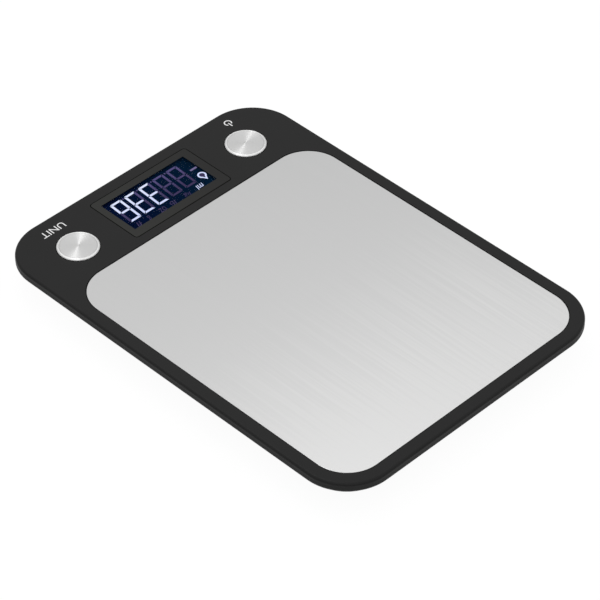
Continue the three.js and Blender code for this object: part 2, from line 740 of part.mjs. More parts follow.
function trayRibs() {
  const half = TRAY_RIB_THICK / 2;
  const bottom = TRAY_FLOOR_Z - 0.2;
  const along = [-TRAY_RIB_X, TRAY_RIB_X].map((x) =>
    box(x - half, x + half, -TRAY_RIB_Y, TRAY_RIB_Y + 10, bottom, TRAY_RIB_Z),
  );
  const across = box(-TRAY_RIB_X, TRAY_RIB_X, TRAY_RIB_Y - half, TRAY_RIB_Y + half, bottom, TRAY_RIB_Z);
  return joined([...along, across]);
}

function cellSeat() {
  const x = CELL_WIDTH / 2 + 2;
  const outer = PLATE_Y + CELL_LENGTH / 2;
  const top = CELL_BOTTOM_Z - SPACER_THICK;
  const bottom = TRAY_FLOOR_Z - 0.2;
  const seat = box(-x, x, outer - SPACER_LENGTH, outer + 2, bottom, top);
  const stopY = PLATE_Y - CELL_LENGTH / 2;
  const stop = box(-x + 3, x - 3, stopY, stopY + STOP_LENGTH, bottom, CELL_BOTTOM_Z - STOP_GAP);
  return seat.add(stop);
}

function bayBlock() {
  const x = BAY_HALF_LENGTH + BAY_WALL;
  const y = BAY_HALF_WIDTH + BAY_WALL;
  return box(-x, x, BAY_Y - y, BAY_Y + y, FEET_Z + 0.5, BAY_ROOF_Z);
}

function doorTopZ() {
  return FEET_Z + DOOR_THICK;
}

function bayHollow() {
  const x = BAY_HALF_LENGTH;
  const y = BAY_HALF_WIDTH;
  const seatX = DOOR_SEAT_HALF_LENGTH;
  const seatY = DOOR_SEAT_HALF_WIDTH;
  const seatZ = doorTopZ() + DOOR_EDGE_GAP;
  const room = box(-x, x, BAY_Y - y, BAY_Y + y, FEET_Z, BAY_CEILING_Z);
  const seat = box(-seatX, seatX, BAY_Y - seatY, BAY_Y + seatY, FEET_Z - 1, seatZ);
  return room.add(seat);
}

function bayNotches() {
  const inner = BAY_Y - BAY_HALF_WIDTH + 0.1;
  const tabHalf = TAB_WIDTH / 2 + 0.4;
  const tabs = [-TAB_X, TAB_X].map((x) =>
    box(x - tabHalf, x + tabHalf, DOOR_HINGE_Y - 2.7, inner, TRAY_FLOOR_Z, 7.2),
  );
  const tabFeet = [-TAB_X, TAB_X].map((x) =>
    box(x - tabHalf, x + tabHalf, DOOR_HINGE_Y - 0.2, inner, FEET_Z, 7.2),
  );
  const latchHalf = LATCH_WIDTH / 2 + 0.6;
  const latchY = BAY_Y + BAY_HALF_WIDTH - 0.1;
  const latch = box(-latchHalf, latchHalf, latchY, latchY + 4, FEET_Z - 1, 8.4);
  const tails = [-BATTERY_OFFSET, BATTERY_OFFSET].map((y) => tailSlot(BAY_Y + y));
  return joined([...tabs, ...tabFeet, latch, ...tails]);
}

function tailSlot(y) {
  const half = TAIL_WIDTH / 2 + 0.3;
  const x = BAY_HALF_LENGTH;
  return box(x - 0.5, x + BAY_WALL + 1, y - half, y + half, TAIL_Z - 0.5, TAIL_Z + 0.5);
}

function trayHoles() {
  const feet = fourCorners(FOOT_X, [-FOOT_Y, FOOT_Y]).map(([x, y]) =>
    rod(FOOT_RADIUS + FOOT_SIDE_GAP, FEET_Z - 1, FEET_Z + FOOT_SEAT, x, y, FOOT_STEPS),
  );
  const heads = CELL_BOLTS.map((offset) =>
    rod(CELL_SCREW.head + 0.3, FEET_Z - 1, cellSeatZ(), 0, PLATE_Y + offset),
  );
  const shafts = CELL_BOLTS.map((offset) =>
    rod(CELL_BOLT_HOLE, FEET_Z - 1, CELL_TOP_Z, 0, PLATE_Y + offset),
  );
  return joined([...feet, ...heads, ...shafts]);
}

function tray() {
  const filled = trayShell().add(trayRibs()).add(cellSeat()).add(bayBlock());
  const opened = filled.subtract(bayHollow()).subtract(bayNotches()).subtract(trayHoles());
  return piece("tray", opened, PLASTIC);
}

function feet() {
  const top = FEET_Z + FOOT_SEAT - GAP;
  const profile = [
    [0, 0],
    [FOOT_RADIUS - 0.6, 0],
    [FOOT_RADIUS - 0.15, 0.25],
    [FOOT_RADIUS, 0.7],
    [FOOT_RADIUS, top],
    [0, top],
  ];
  return fourCorners(FOOT_X, [-FOOT_Y, FOOT_Y]).map(([x, y], i) =>
    at(piece(`foot_${i + 1}`, turned(profile, FOOT_STEPS), RUBBER), x, y),
  );
}

// Batteries and their contacts ----------------------------------------------------------------

// Turned along Z with its nub up, from z = 0.
function batteryBody() {
  const shoulder = BATTERY_LENGTH - BATTERY_NUB;
  const round = 0.5;
  const profile = [
    [0, 0],
    [BATTERY_RADIUS - round, 0],
    [BATTERY_RADIUS, round],
    [BATTERY_RADIUS, shoulder - round],
    [BATTERY_RADIUS - round, shoulder],
    [BATTERY_NUB_RADIUS, shoulder],
    [BATTERY_NUB_RADIUS, BATTERY_LENGTH],
    [0, BATTERY_LENGTH],
  ];
  return turned(profile, 28);
}

function battery(name, y, side) {
  const mesh = piece(name, batteryBody().rotate([0, side * 90, 0]), CELL_JACKET);
  const nub = BAY_HALF_LENGTH - CONTACT_THICK - 2 * CONTACT_GAP;
  return at(mesh, side * (nub - BATTERY_LENGTH), BAY_Y + y, BATTERY_Z);
}

class Coil extends THREE.Curve {
  constructor(turns, wide, narrow, start, height) {
    super();
    Object.assign(this, { turns, wide, narrow, start, height });
  }

  getPoint(t, target = new THREE.Vector3()) {
    const angle = 2 * Math.PI * this.turns * t;
    const radius = this.wide + (this.narrow - this.wide) * t;
    const z = this.start + this.height * t;
    return target.set(radius * Math.cos(angle), radius * Math.sin(angle), z);
  }
}

// A conical spring on a plate, standing up from z = 0.
function coilSpring(length) {
  const wire = 0.35;
  const start = 0.5 * CONTACT_THICK;
  const coil = new Coil(3, 3.3, 1.8, start, length - start - wire);
  return solid(sweep(coil, wire, 36));
}

function contactPlate(width) {
  const outline = roundedRect(CONTACT_HEIGHT, width, 0.8);
  return slab(outline, 0, CONTACT_THICK, 2);
}

function springLength() {
  const room = 2 * BAY_HALF_LENGTH - 3 * CONTACT_GAP - CONTACT_THICK;
  return room - BATTERY_LENGTH - 2 * CONTACT_GAP;
}

// The solder tail at the top of a plate, bent out through the end wall. Local X is down.
function tail() {
  const half = TAIL_WIDTH / 2;
  const level = BATTERY_Z - TAIL_Z;
  return box(level - 0.2, level + 0.2, -half, half, -TAIL_REACH, CONTACT_THICK / 2);
}

// Turned so that local Z points from the end wall into the bay.
function contact(name, shape, x, y) {
  const mesh = piece(name, shape.rotate([0, x > 0 ? -90 : 90, 0]), NICKEL);
  return at(mesh, x, y, BATTERY_Z);
}

function contacts() {
  const wall = BAY_HALF_LENGTH - CONTACT_GAP;
  const bump = rod(1.6, 0.1, CONTACT_THICK + 0.05, 0, 0, 12);
  const plus = contactPlate(CONTACT_WIDTH).add(bump).add(tail().mirror([1, 0, 0]));
  const minus = contactPlate(CONTACT_WIDTH).add(coilSpring(springLength())).add(
    tail().mirror([1, 0, 0]),
  );
  const bridgePlate = contactPlate(CONTACT_WIDTH + 2 * BATTERY_OFFSET);
  const bridgeSpring = coilSpring(springLength()).translate([0, -BATTERY_OFFSET, 0]);
  const bridgeBump = bump.translate([0, BATTERY_OFFSET, 0]);
  return [
    contact("contact_plus", plus, wall, BAY_Y - BATTERY_OFFSET),
    contact("contact_minus", minus, wall, BAY_Y + BATTERY_OFFSET),
    contact("contact_bridge", bridgePlate.add(bridgeSpring).add(bridgeBump), -wall, BAY_Y),
  ];
}

// Battery door --------------------------------------------------------------------------------

// Local origin on the hinge line, which is the lower outer edge; +Y runs to the latch.
function doorTab(x) {
  const half = TAB_WIDTH / 2;
  const root = box(x - half, x + half, 0.15, 1.35, DOOR_THICK - 0.2, 3.4);
  const tongue = box(x - half, x + half, -2.2, 1.35, 2.4, 3.4);
  return root.add(tongue);
}

function doorLatch() {
  const half = LATCH_WIDTH / 2;
  const edge = DOOR_LENGTH;
  const rootLeg = box(-half, half, edge - 1.5, edge - 0.7, DOOR_THICK - 0.2, 5);
  const bridge = box(-half, half, edge - 1.5, edge + 1.4, 4.3, 5);
  const thumbLeg = box(-half, half, edge + 0.6, edge + 1.4, 0.3, 5);
  return joined([rootLeg, bridge, thumbLeg]);
}

function doorGrip() {
  const edge = DOOR_LENGTH;
  const grooves = [0, 1, 2].map((i) => {
    const y = edge - 5 - 2 * i;
    return box(-8, 8, y, y + 0.9, -1, 0.35);
  });
  return joined(grooves);
}

function batteryDoor() {
  const x = DOOR_HALF_LENGTH;
  const plate = box(-x, x, DOOR_EDGE_GAP, DOOR_LENGTH, 0, DOOR_THICK);
  const parts = [plate, doorTab(-TAB_X), doorTab(TAB_X), doorLatch()];
  const shape = joined(parts).subtract(doorGrip());
  return at(piece("battery_door", shape, PLASTIC), 0, DOOR_HINGE_Y, FEET_Z);
}

// Buttons -------------------------------------------------------------------------------------

function buttonCap() {
  const bottom = BUTTON_TOP_Z - BUTTON_CAP_THICK;
  const profile = [
    [0, bottom],
    [BUTTON_RADIUS, bottom],
    [BUTTON_RADIUS, BUTTON_TOP_Z - BUTTON_CHAMFER],
    [BUTTON_RADIUS - BUTTON_CHAMFER, BUTTON_TOP_Z],
    [0, BUTTON_TOP_Z],
  ];
  return turned(profile, DISC_STEPS);
}

function buttonKey() {
  const top = BUTTON_TOP_Z - BUTTON_CAP_THICK - GAP;
  const flangeTop = SKIN_UNDER_Z - 0.05;
  const flangeBottom = flangeTop - KEY_FLANGE_THICK;
  const profile = [
    [0, KEY_STEM_Z],
    [KEY_STEM_RADIUS, KEY_STEM_Z],
    [KEY_STEM_RADIUS, flangeBottom],
    [KEY_FLANGE_RADIUS, flangeBottom],
    [KEY_FLANGE_RADIUS, flangeTop],
    [KEY_RADIUS, flangeTop],
    [KEY_RADIUS, top],
    [0, top],
  ];
  return turned(profile, 24);
}

function button(side, name) {
  const group = new THREE.Group();
  const plunger = rod(PLUNGER_RADIUS, PLUNGER_BOTTOM_Z, KEY_STEM_Z - GAP);
  group.add(piece(`${name}_button_cap`, buttonCap(), STEEL));
  group.add(piece(`${name}_button_key`, buttonKey(), PLASTIC));
  group.add(piece(`${name}_switch_plunger`, plunger, WHITE));
  return at(group, side * BUTTON_X, BUTTON_Y);
}

// Cables --------------------------------------------------------------------------------------

function cable(name, points, radius, steps, finish) {
  const path = points.map(([x, y, z]) => new THREE.Vector3(x, y, z));
  const curve = new THREE.CatmullRomCurve3(path, false, "centripetal");
  return piece(name, sweep(curve, radius, steps), finish);
}

function cellCable() {
  const board = PCB_BOTTOM_Z - 0.3;
  const points = [
    [CELL_WIDTH / 2 + 0.6, PLATE_Y - 4, 9.7],
    [13, 10, 8.4],
    [22, -6, 6.6],
    [35, -30, 6.2],
    [36, -60, 6.4],
    [33, -74, 6.6],
    [30.5, -82, 7.4],
    [29, -86.4, 8.4],
    [28.6, -87.5, 9.3],
    [28.6, -87.5, board],
  ];
  return cable("load_cell_cable", points, CELL_CABLE_RADIUS, 36, JACKET_GREY);
}

function batteryWires() {
  const board = PCB_BOTTOM_Z - 0.3;
  const start = BAY_HALF_LENGTH - CONTACT_GAP + TAIL_REACH + 0.6;
  const red = [
    [start, BAY_Y - BATTERY_OFFSET, TAIL_Z],
    [start + 2, BAY_Y - BATTERY_OFFSET - 3, 11.4],
    [31.2, -71.6, 9.2],
    [25, -73.6, 8.2],
    [17.6, -75.9, 8.5],
    [16.5, -76.6, 9.1],
    [16.5, -76.6, board],
  ];
  const black = [
    [start, BAY_Y + BATTERY_OFFSET, TAIL_Z],
    [start + 4, BAY_Y + BATTERY_OFFSET - 3, 11.2],
    [37.5, -63, 10.2],
    [34, -71.5, 9.7],
    [28, -75.2, 9.3],
    [24.8, -76.8, 8.9],
    [24, -77.4, 9.2],
    [24, -77.4, board],
  ];
  return [
    cable("battery_wire_red", red, BATTERY_WIRE_RADIUS, 24, JACKET_RED),
    cable("battery_wire_black", black, BATTERY_WIRE_RADIUS, 26, JACKET_BLACK),
  ];
}

// Assembly ------------------------------------------------------------------------------------

function baseGroup() {
  const group = new THREE.Group();
  group.add(tray(), ...feet(), loadCell());
  group.add(gaugePotting("gauge_potting_top", CELL_TOP_Z + GAP));
  group.add(gaugePotting("gauge_potting_bottom", CELL_BOTTOM_Z - GAP - POTTING_THICK));
  group.add(cellSpacer("cell_base_spacer", 1, CELL_BOTTOM_Z - SPACER_THICK));
  group.add(...fixedEndScrews());
  group.add(battery("battery_1", -BATTERY_OFFSET, 1), battery("battery_2", BATTERY_OFFSET, -1));
  group.add(...contacts());
  group.add(batteryDoor(), ...batteryWires(), cellCable());
  return group;
}

function displayGroup() {
  const group = new THREE.Group();
  group.add(displayLens(), lensTape(), lcdPolariser(), lcdPanel());
  group.add(backlightBox(), backlightGuide(), backlightLed(), zebraStrip());
  return group;
}

function topGroup() {
  const group = new THREE.Group();
  group.add(topCover(), steelPlate(), plateAdhesive(), displayGroup());
  group.add(mainPcb(), chip(), capacitor(), ...pcbScrews());
  group.add(switchBase("power_switch_base", -BUTTON_X), switchBase("unit_switch_base", BUTTON_X));
  group.add(carrierPlate(), ...carrierScrews(), ...freeEndScrews());
  group.add(cellSpacer("cell_top_spacer", -1, CELL_TOP_Z));
  group.add(button(-1, "power"), button(1, "unit"));
  return group;
}

const scale = new THREE.Group();
scale.name = "kitchen_scale";
scale.add(baseGroup(), topGroup());

export default scale;
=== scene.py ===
import math

import bmesh
import bpy
from mathutils import Matrix, Vector


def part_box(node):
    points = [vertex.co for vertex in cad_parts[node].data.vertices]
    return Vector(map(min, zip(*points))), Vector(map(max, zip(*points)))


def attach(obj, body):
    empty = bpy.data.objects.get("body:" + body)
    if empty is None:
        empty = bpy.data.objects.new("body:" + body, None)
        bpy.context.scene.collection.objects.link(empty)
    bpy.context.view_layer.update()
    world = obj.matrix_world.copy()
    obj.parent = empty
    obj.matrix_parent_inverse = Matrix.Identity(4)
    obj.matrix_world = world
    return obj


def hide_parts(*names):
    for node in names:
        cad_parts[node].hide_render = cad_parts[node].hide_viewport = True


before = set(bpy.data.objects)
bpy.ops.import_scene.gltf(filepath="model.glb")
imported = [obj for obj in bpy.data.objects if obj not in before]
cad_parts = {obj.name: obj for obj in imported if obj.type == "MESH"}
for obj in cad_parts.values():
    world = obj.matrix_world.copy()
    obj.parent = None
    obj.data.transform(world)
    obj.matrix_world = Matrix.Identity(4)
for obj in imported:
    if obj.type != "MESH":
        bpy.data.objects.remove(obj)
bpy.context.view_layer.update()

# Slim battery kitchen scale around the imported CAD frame. Shapes are written in millimetres in the
# row frame and turned into metres where a mesh is made. +Z is up and the display end is -Y.
MM = 0.001

# Case.
CASE_WIDTH, CASE_LENGTH, CASE_CORNER = 165.5, 227.0, 24.1
RIM_BOTTOM, RIM_TOP = 13.5, 18.3
RIM_TOP_ROUND, RIM_BOTTOM_ROUND = 1.4, 1.2
SKIRT_WALL = 2.4
SKIN_UNDER, WEB_UNDER = 16.4, 15.2
DISPLAY_ZONE_Y = -69.5
RECESS_ROUND, SEAT_ROUND, KEY_HOLE_ROUND = 0.15, 0.12, 0.15
TOP_RIB_HEIGHT, RIB_HALF = 2.6, 0.7

# Weighing plate.
PLATE_WIDTH, PLATE_LENGTH, PLATE_CORNER, PLATE_Y = 151.65, 175.0, 17.9, 19.2
PLATE_TOP, PLATE_BOTTOM, PLATE_ROUND = 18.2, 17.4, 0.2
PLATE_MARGIN, RECESS_Z = 0.35, 17.16

# Display.
LENS_WIDTH, LENS_LENGTH, LENS_CORNER, LENS_Y = 60.4, 32.5, 1.5, -90.0
LENS_BOTTOM, LENS_TOP, LENS_SEAT, LENS_MARGIN = 17.19, 18.39, 17.0, 0.3
VIEW_WIDTH, VIEW_LENGTH, VIEW_CORNER, VIEW_X, VIEW_Y = 53.6, 24.8, 0.5, -0.1, -91.1
FACE_BOTTOM, FACE_TOP = 16.12, 16.93
MARK_TOP = 16.96
FRONT_WIDTH, FRONT_LENGTH, FRONT_X, FRONT_Y = 52.0, 23.5, 0.68, -90.35
BACK_WIDTH, BACK_LENGTH, BACK_X, BACK_Y = 52.6, 24.1, -0.27, -91.25
INK_THICKNESS = 0.02

# Keys.
KEY_X, KEY_Y = 53.3, -88.1
KEY_HOLE, CAP_RADIUS = 10.35, 10.05
CAP_BOTTOM, CAP_TOP = 18.0, 19.0

# Tray, feet and door.
TRAY_INSET, TRAY_TAPER, TRAY_WALL = 3.4, 10.6, 1.8
TRAY_BOTTOM, TRAY_FLOOR, TRAY_KNEE, TRAY_TOP = 2.2, 4.2, 10.6, 14.4
FOOT_X, FOOT_Y, FOOT_RADIUS = 56.0, 86.0, 7.0
BAY_Y, BAY_HALF_LENGTH, BAY_HALF_WIDTH = -57.25, 25.5, 11.2
HINGE_Y = BAY_Y - 12.75
DOOR_LENGTH, DOOR_THICK, DOOR_HALF = 25.35, 1.6, 27.0
TAB_X, TAB_HALF, TAB_GAP = 15.0, 3.0, 0.4
BOLT_OFFSETS = (17.5, 25.5)
HEAD_TOP, HEAD_HEIGHT, SHAFT_LENGTH = 3.63, 1.3, 8.0


# Outlines and closed shells ------------------------------------------------------------------

def rounded(width, length, corner, x=0.0, y=0.0, steps=20):
    """A rounded rectangle as points, anticlockwise."""
    right, far = width / 2 - corner, length / 2 - corner
    centres = ((right, -far, -90), (right, far, 0), (-right, far, 90), (-right, -far, 180))
    points = []
    for across, along, start in centres:
        for i in range(steps + 1):
            angle = math.radians(start + 90 * i / steps)
            px = x + across + corner * math.cos(angle)
            points.append((px, y + along + corner * math.sin(angle)))
    return points


def circle(radius, x, y, steps):
    angles = [2 * math.pi * i / steps for i in range(steps)]
    return [(x + radius * math.cos(a), y + radius * math.sin(a)) for a in angles]


def loft(levels):
    """A closed shell through outlines with the same number of points, from the lowest up."""
    count = len(levels[0][0])
    verts = [(x, y, z) for outline, z in levels for x, y in outline]
    faces = [tuple(reversed(range(count)))]
    for level in range(len(levels) - 1):
        low, high = level * count, (level + 1) * count
        for i in range(count):
            j = (i + 1) % count
            faces.append((low + i, low + j, high + j, high + i))
    last = (len(levels) - 1) * count
    faces.append(tuple(range(last, last + count)))
    return verts, faces


def slab(width, length, corner, levels, x=0.0, y=0.0, steps=20):
    """Rounded rectangles stacked by (inset, z)."""
    rings = [
        (rounded(width - 2 * i, length - 2 * i, max(corner - i, 0.05), x, y, steps), z)
        for i, z in levels
    ]
    return loft(rings)


def turned(profile, x=0.0, y=0.0, steps=96):
    """A turned shell from (radius, z) pairs, from the lowest up; radius 0 only at the two ends."""
    verts, rows = [], []
    for radius, z in profile:
        start = len(verts)
        ring = [(x, y)] if radius == 0 else circle(radius, x, y, steps)
        verts += [(px, py, z) for px, py in ring]
        rows.append([start + i for i in range(len(ring))])
    faces = []
    for low, high in zip(rows, rows[1:]):
        for i in range(steps):
            j = (i + 1) % steps
            if len(low) == 1:
                faces.append((low[0], high[j], high[i]))
            elif len(high) == 1:
                faces.append((low[i], low[j], high[0]))
            else:
                faces.append((low[i], low[j], high[j], high[i]))
    if len(rows[0]) > 1:
        faces.append(tuple(reversed(rows[0])))
    if len(rows[-1]) > 1:
        faces.append(tuple(rows[-1]))
    return verts, faces


def box(min_x, max_x, min_y, max_y, min_z, max_z):
    """A plain block between its limits along each axis."""
    outline = [(min_x, min_y), (max_x, min_y), (max_x, max_y), (min_x, max_y)]
    return loft([(outline, min_z), (outline, max_z)])


def arc(radius, start, end, steps, across=0.0, up=0.0):
    """Points of a round edge as (across, up) pairs, angles in degrees."""
    angles = [math.radians(start + (end - start) * i / steps) for i in range(steps + 1)]
    return [(across + radius * math.cos(a), up + radius * math.sin(a)) for a in angles]


def top_round(radius, z, steps=5):
    """(inset, z) pairs of a convex edge that ends flat at height z."""
    return [(radius - across, z - radius + up) for across, up in arc(radius, 0, 90, steps)]


def bottom_round(radius, z, steps=4):
    """(inset, z) pairs of a convex edge that starts flat at height z."""
    return [(radius - across, z + radius + up) for across, up in arc(radius, -90, 0, steps)]


def flare(radius, z, steps=5):
    """(inset, z) pairs of a cutter that leaves a rounded edge on a face at height z."""
    turns = [math.pi / 2 * i / steps for i in range(steps + 1)]
    return [(radius * (math.cos(turn) - 1), z - radius + radius * math.sin(turn)) for turn in turns]


def sliced(shell, xs, ys):
    """The shell with its faces cut along planes, so that no opening lies inside one face."""
    work = bmesh.new()
    corners = [work.verts.new(corner) for corner in shell[0]]
    for face in shell[1]:
        work.faces.new([corners[i] for i in face])
    for axis, levels in ((Vector((1, 0, 0)), xs), (Vector((0, 1, 0)), ys)):
        for level in levels:
            everything = work.verts[:] + work.edges[:] + work.faces[:]
            bmesh.ops.bisect_plane(work, geom=everything, plane_co=axis * level, plane_no=axis)
    work.verts.index_update()
    shell = ([tuple(v.co) for v in work.verts], [tuple(v.index for v in f.verts) for f in work.faces])
    work.free()
    return shell


def joined(shells):
    """Several shells as one."""
    verts, faces = [], []
    for more_verts, more_faces in shells:
        start = len(verts)
        verts += more_verts
        faces += [tuple(start + i for i in face) for face in more_faces]
    return verts, faces


def moved(shell, x, y):
    verts, faces = shell
    return [(a + x, b + y, c) for a, b, c in verts], faces


def grid(x, ys):
    """Places in mirrored pairs at -x and x, one pair for each y."""
    return [(side, y) for y in ys for side in (-x, x)]


# Blender objects -----------------------------------------------------------------------------

def mesh_object(name, shell):
    """A mesh object in metres from a shell in millimetres."""
    verts, faces = shell
    mesh = bpy.data.meshes.new(name)
    mesh.from_pydata([(x * MM, y * MM, z * MM) for x, y, z in verts], [], faces)
    mesh.validate()
    obj = bpy.data.objects.new(name, mesh)
    bpy.context.scene.collection.objects.link(obj)
    return obj


def carve(name, base, steps):
    """The base shell after (operation, shell) steps of exact booleans."""
    obj = mesh_object(name, base)
    tools = []
    for operation, shell in steps:
        tool = mesh_object("tool", shell)
        tools.append(tool)
        modifier = obj.modifiers.new("carve", "BOOLEAN")
        modifier.operation = operation
        modifier.object = tool
        modifier.solver = "EXACT"
    graph = bpy.context.evaluated_depsgraph_get()
    mesh = bpy.data.meshes.new_from_object(obj.evaluated_get(graph))
    obj.modifiers.clear()
    obj.data = mesh
    for tool in tools:
        bpy.data.objects.remove(tool)
    return obj


def as_shell(obj):
    """Turns an object back into a shell in millimetres, and removes it."""
    verts = [tuple(vertex.co / MM) for vertex in obj.data.vertices]
    faces = [tuple(polygon.vertices) for polygon in obj.data.polygons]
    bpy.data.objects.remove(obj)
    return verts, faces


def shade(obj, angle=32.0):
    """Cleans the mesh, then smooths it up to an angle with flats kept flat."""
    work = bmesh.new()
    work.from_mesh(obj.data)
    bmesh.ops.remove_doubles(work, verts=work.verts, dist=2e-7)
    bmesh.ops.dissolve_degenerate(work, edges=work.edges, dist=2e-7)
    bmesh.ops.recalc_face_normals(work, faces=work.faces)
    work.to_mesh(obj.data)
    work.free()
    obj.data.polygons.foreach_set("use_smooth", [True] * len(obj.data.polygons))
    obj.data.set_sharp_from_angle(angle=math.radians(angle))
    weighted = obj.modifiers.new("even_normals", "WEIGHTED_NORMAL")
    weighted.keep_sharp = True
    weighted.weight = 90
    return obj


def place(obj, body, finish, replaced=()):
    """Gives a piece its material and its body, and hides the CAD nodes it stands for."""
    obj.data.materials.clear()
    for material in finish if isinstance(finish, (list, tuple)) else [finish]:
        obj.data.materials.append(material)
    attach(obj, body)
    if replaced:
        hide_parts(*replaced)
    return obj


# Materials -----------------------------------------------------------------------------------

class Nodes:
    """A material's node tree, with short calls for the nodes that the finishes share."""

    def __init__(self, name, rough=0.5, metal=0.0, specular=0.5):
        self.material = bpy.data.materials.new(name)
        self.material.use_nodes = True
        self.tree = self.material.node_tree
        self.shader = self.tree.nodes["Principled BSDF"]
        self.shader.inputs["Roughness"].default_value = rough
        self.shader.inputs["Metallic"].default_value = metal
        self.shader.inputs["Specular IOR Level"].default_value = specular
        self.where = self.add("ShaderNodeTexCoord").outputs["Object"]

    def add(self, kind, **settings):
        node = self.tree.nodes.new(kind)
        for key, value in settings.items():
            setattr(node, key, value)
        return node

    def link(self, source, target):
        self.tree.links.new(source, target)

    def stretched(self, scale):
        """Object coordinates, scaled by three numbers per metre."""
        mapping = self.add("ShaderNodeMapping")
        mapping.inputs["Scale"].default_value = scale
        self.link(self.where, mapping.inputs["Vector"])
        return mapping.outputs["Vector"]

    def noise(self, scale, detail=2.0):
        """Noise with features of about 1 / scale metres along each axis."""
        node = self.add("ShaderNodeTexNoise")
        node.inputs["Scale"].default_value = 1.0
        node.inputs["Detail"].default_value = detail
        self.link(self.stretched(scale), node.inputs["Vector"])
        return node.outputs["Fac"]

    def axes(self):
        """The object coordinates as separate outputs X, Y and Z."""
        node = self.add("ShaderNodeSeparateXYZ")
        self.link(self.where, node.inputs["Vector"])
        return node.outputs

    def span(self, value, low, high, from_low=0.3, from_high=0.7):
        """Maps a value onto a range of numbers, clamped at both ends."""
        node = self.add("ShaderNodeMapRange")
        for socket, number in zip(("From Min", "From Max", "To Min", "To Max"),
                                  (from_low, from_high, low, high)):
            node.inputs[socket].default_value = number
        self.link(value, node.inputs["Value"])
        return node.outputs["Result"]

    def math(self, operation, a, b):
        node = self.add("ShaderNodeMath", operation=operation)
        for socket, value in zip(node.inputs, (a, b)):
            if isinstance(value, (int, float)):
                socket.default_value = value
            else:
                self.link(value, socket)
        return node.outputs["Value"]

    def mixed(self, value, low, high):
        """A colour between two, by a value from 0 to 1; each end is a colour or a node's output."""
        node = self.add("ShaderNodeMix", data_type="RGBA")
        sockets = {s.identifier: s for s in node.inputs}
        for end, colour in (("A_Color", low), ("B_Color", high)):
            if isinstance(colour, tuple):
                sockets[end].default_value = (*colour, 1)
            else:
                self.link(colour, sockets[end])
        self.link(value, sockets["Factor_Float"])
        return {s.identifier: s for s in node.outputs}["Result_Color"]

    def colour(self, output):
        self.link(output, self.shader.inputs["Base Color"])

    def bump(self, height, depth, strength=1.0):
        """A relief of the given depth in metres."""
        node = self.add("ShaderNodeBump")
        node.inputs["Strength"].default_value = strength
        node.inputs["Distance"].default_value = depth
        self.link(height, node.inputs["Height"])
        self.link(node.outputs["Normal"], self.shader.inputs["Normal"])


def even(scale):
    """The same scale along every axis."""
    return (scale, scale, scale)


def mottled(name, low, high, rough, grain=900.0, relief=6e-6, patch=60.0, **settings):
    """A moulded, cast or plated surface: fine grain, slow patches of tone, uneven gloss."""
    n = Nodes(name, rough[0], **settings)
    fine = n.noise(even(grain), 3.0)
    slow = n.noise(even(patch))
    mixed = n.math("ADD", n.math("MULTIPLY", fine, 0.4), n.math("MULTIPLY", slow, 0.6))
    n.colour(n.mixed(n.span(mixed, 0.0, 1.0), low, high))
    n.link(n.span(slow, *rough), n.shader.inputs["Roughness"])
    n.bump(fine, relief)
    return n.material


def black_plastic():
    """Satin moulded plastic: duller on the rim's side wall, smoother below it, and painted paler on the
    bottom lip as a painted reflection of the floor.
    """
    n = Nodes("satin_black", 0.4, specular=0.16)
    fine = n.noise(even(2600.0))
    slow = n.noise(even(45.0))
    apart = n.axes()
    face = n.mixed(n.span(slow, 0.0, 1.0), (0.0080, 0.0080, 0.0080), (0.0097, 0.0097, 0.0097))
    # Painted reflection: below the rim's lower edge the colour is painted paler, standing in for the floor
    # reflected in the lip.
    painted_lip_reflection = n.span(apart["Z"], 1.0, 0.0, 0.0143, 0.0149)
    n.colour(n.mixed(painted_lip_reflection, face, (0.022, 0.022, 0.022)))
    satin = n.span(slow, 0.36, 0.42)
    below = n.span(apart["Z"], 0.2, 0.0, 0.0160, 0.0174)
    above = n.span(apart["Z"], 0.0, 1.0, 0.0143, 0.0149)
    n.link(n.math("ADD", satin, n.math("MULTIPLY", below, above)), n.shader.inputs["Roughness"])
    n.bump(fine, 2.2e-6)
    return n.material


def brushed_steel():
    """Stainless sheet with its grain along Y, painted lighter towards +X and +Y as a painted highlight, and
    with its streaks painted stronger towards +Y as painted sheen.
    """
    n = Nodes("brushed_stainless", 0.3, metal=1.0)
    hair = n.noise((5200.0, 24.0, 1.0))
    band = n.noise((620.0, 11.0, 1.0))
    apart = n.axes()
    # Painted highlight: the colour is painted lighter towards +X and towards +Y.
    across = n.span(apart["X"], 0.0, 0.4, -0.07, 0.07)
    far = n.span(apart["Y"], 0.0, 0.6, 0.015, 0.1)
    # Painted sheen: the grain streaks are painted stronger towards +Y, where the highlight shows them.
    painted_sheen_toward_y = n.span(apart["Y"], 0.1, 1.0, 0.0, 0.07)
    streak = n.math("MULTIPLY", n.span(band, 0.0, 1.0, 0.42, 0.68), painted_sheen_toward_y)
    tone = n.math("ADD", n.math("ADD", across, far), n.math("MULTIPLY", streak, 0.5))
    tone = n.math("ADD", tone, n.math("MULTIPLY", hair, 0.08))
    n.colour(n.mixed(tone, (0.540, 0.541, 0.541), (0.612, 0.612, 0.610)))
    n.link(n.math("SUBTRACT", 0.31, n.math("MULTIPLY", streak, 0.03)), n.shader.inputs["Roughness"])
    n.shader.inputs["Anisotropic"].default_value = 0.85
    grain = n.add("ShaderNodeCombineXYZ")
    grain.inputs["X"].default_value = 1.0
    n.link(grain.outputs["Vector"], n.shader.inputs["Tangent"])
    n.bump(hair, 1.5e-6, 0.5)
    return n.material


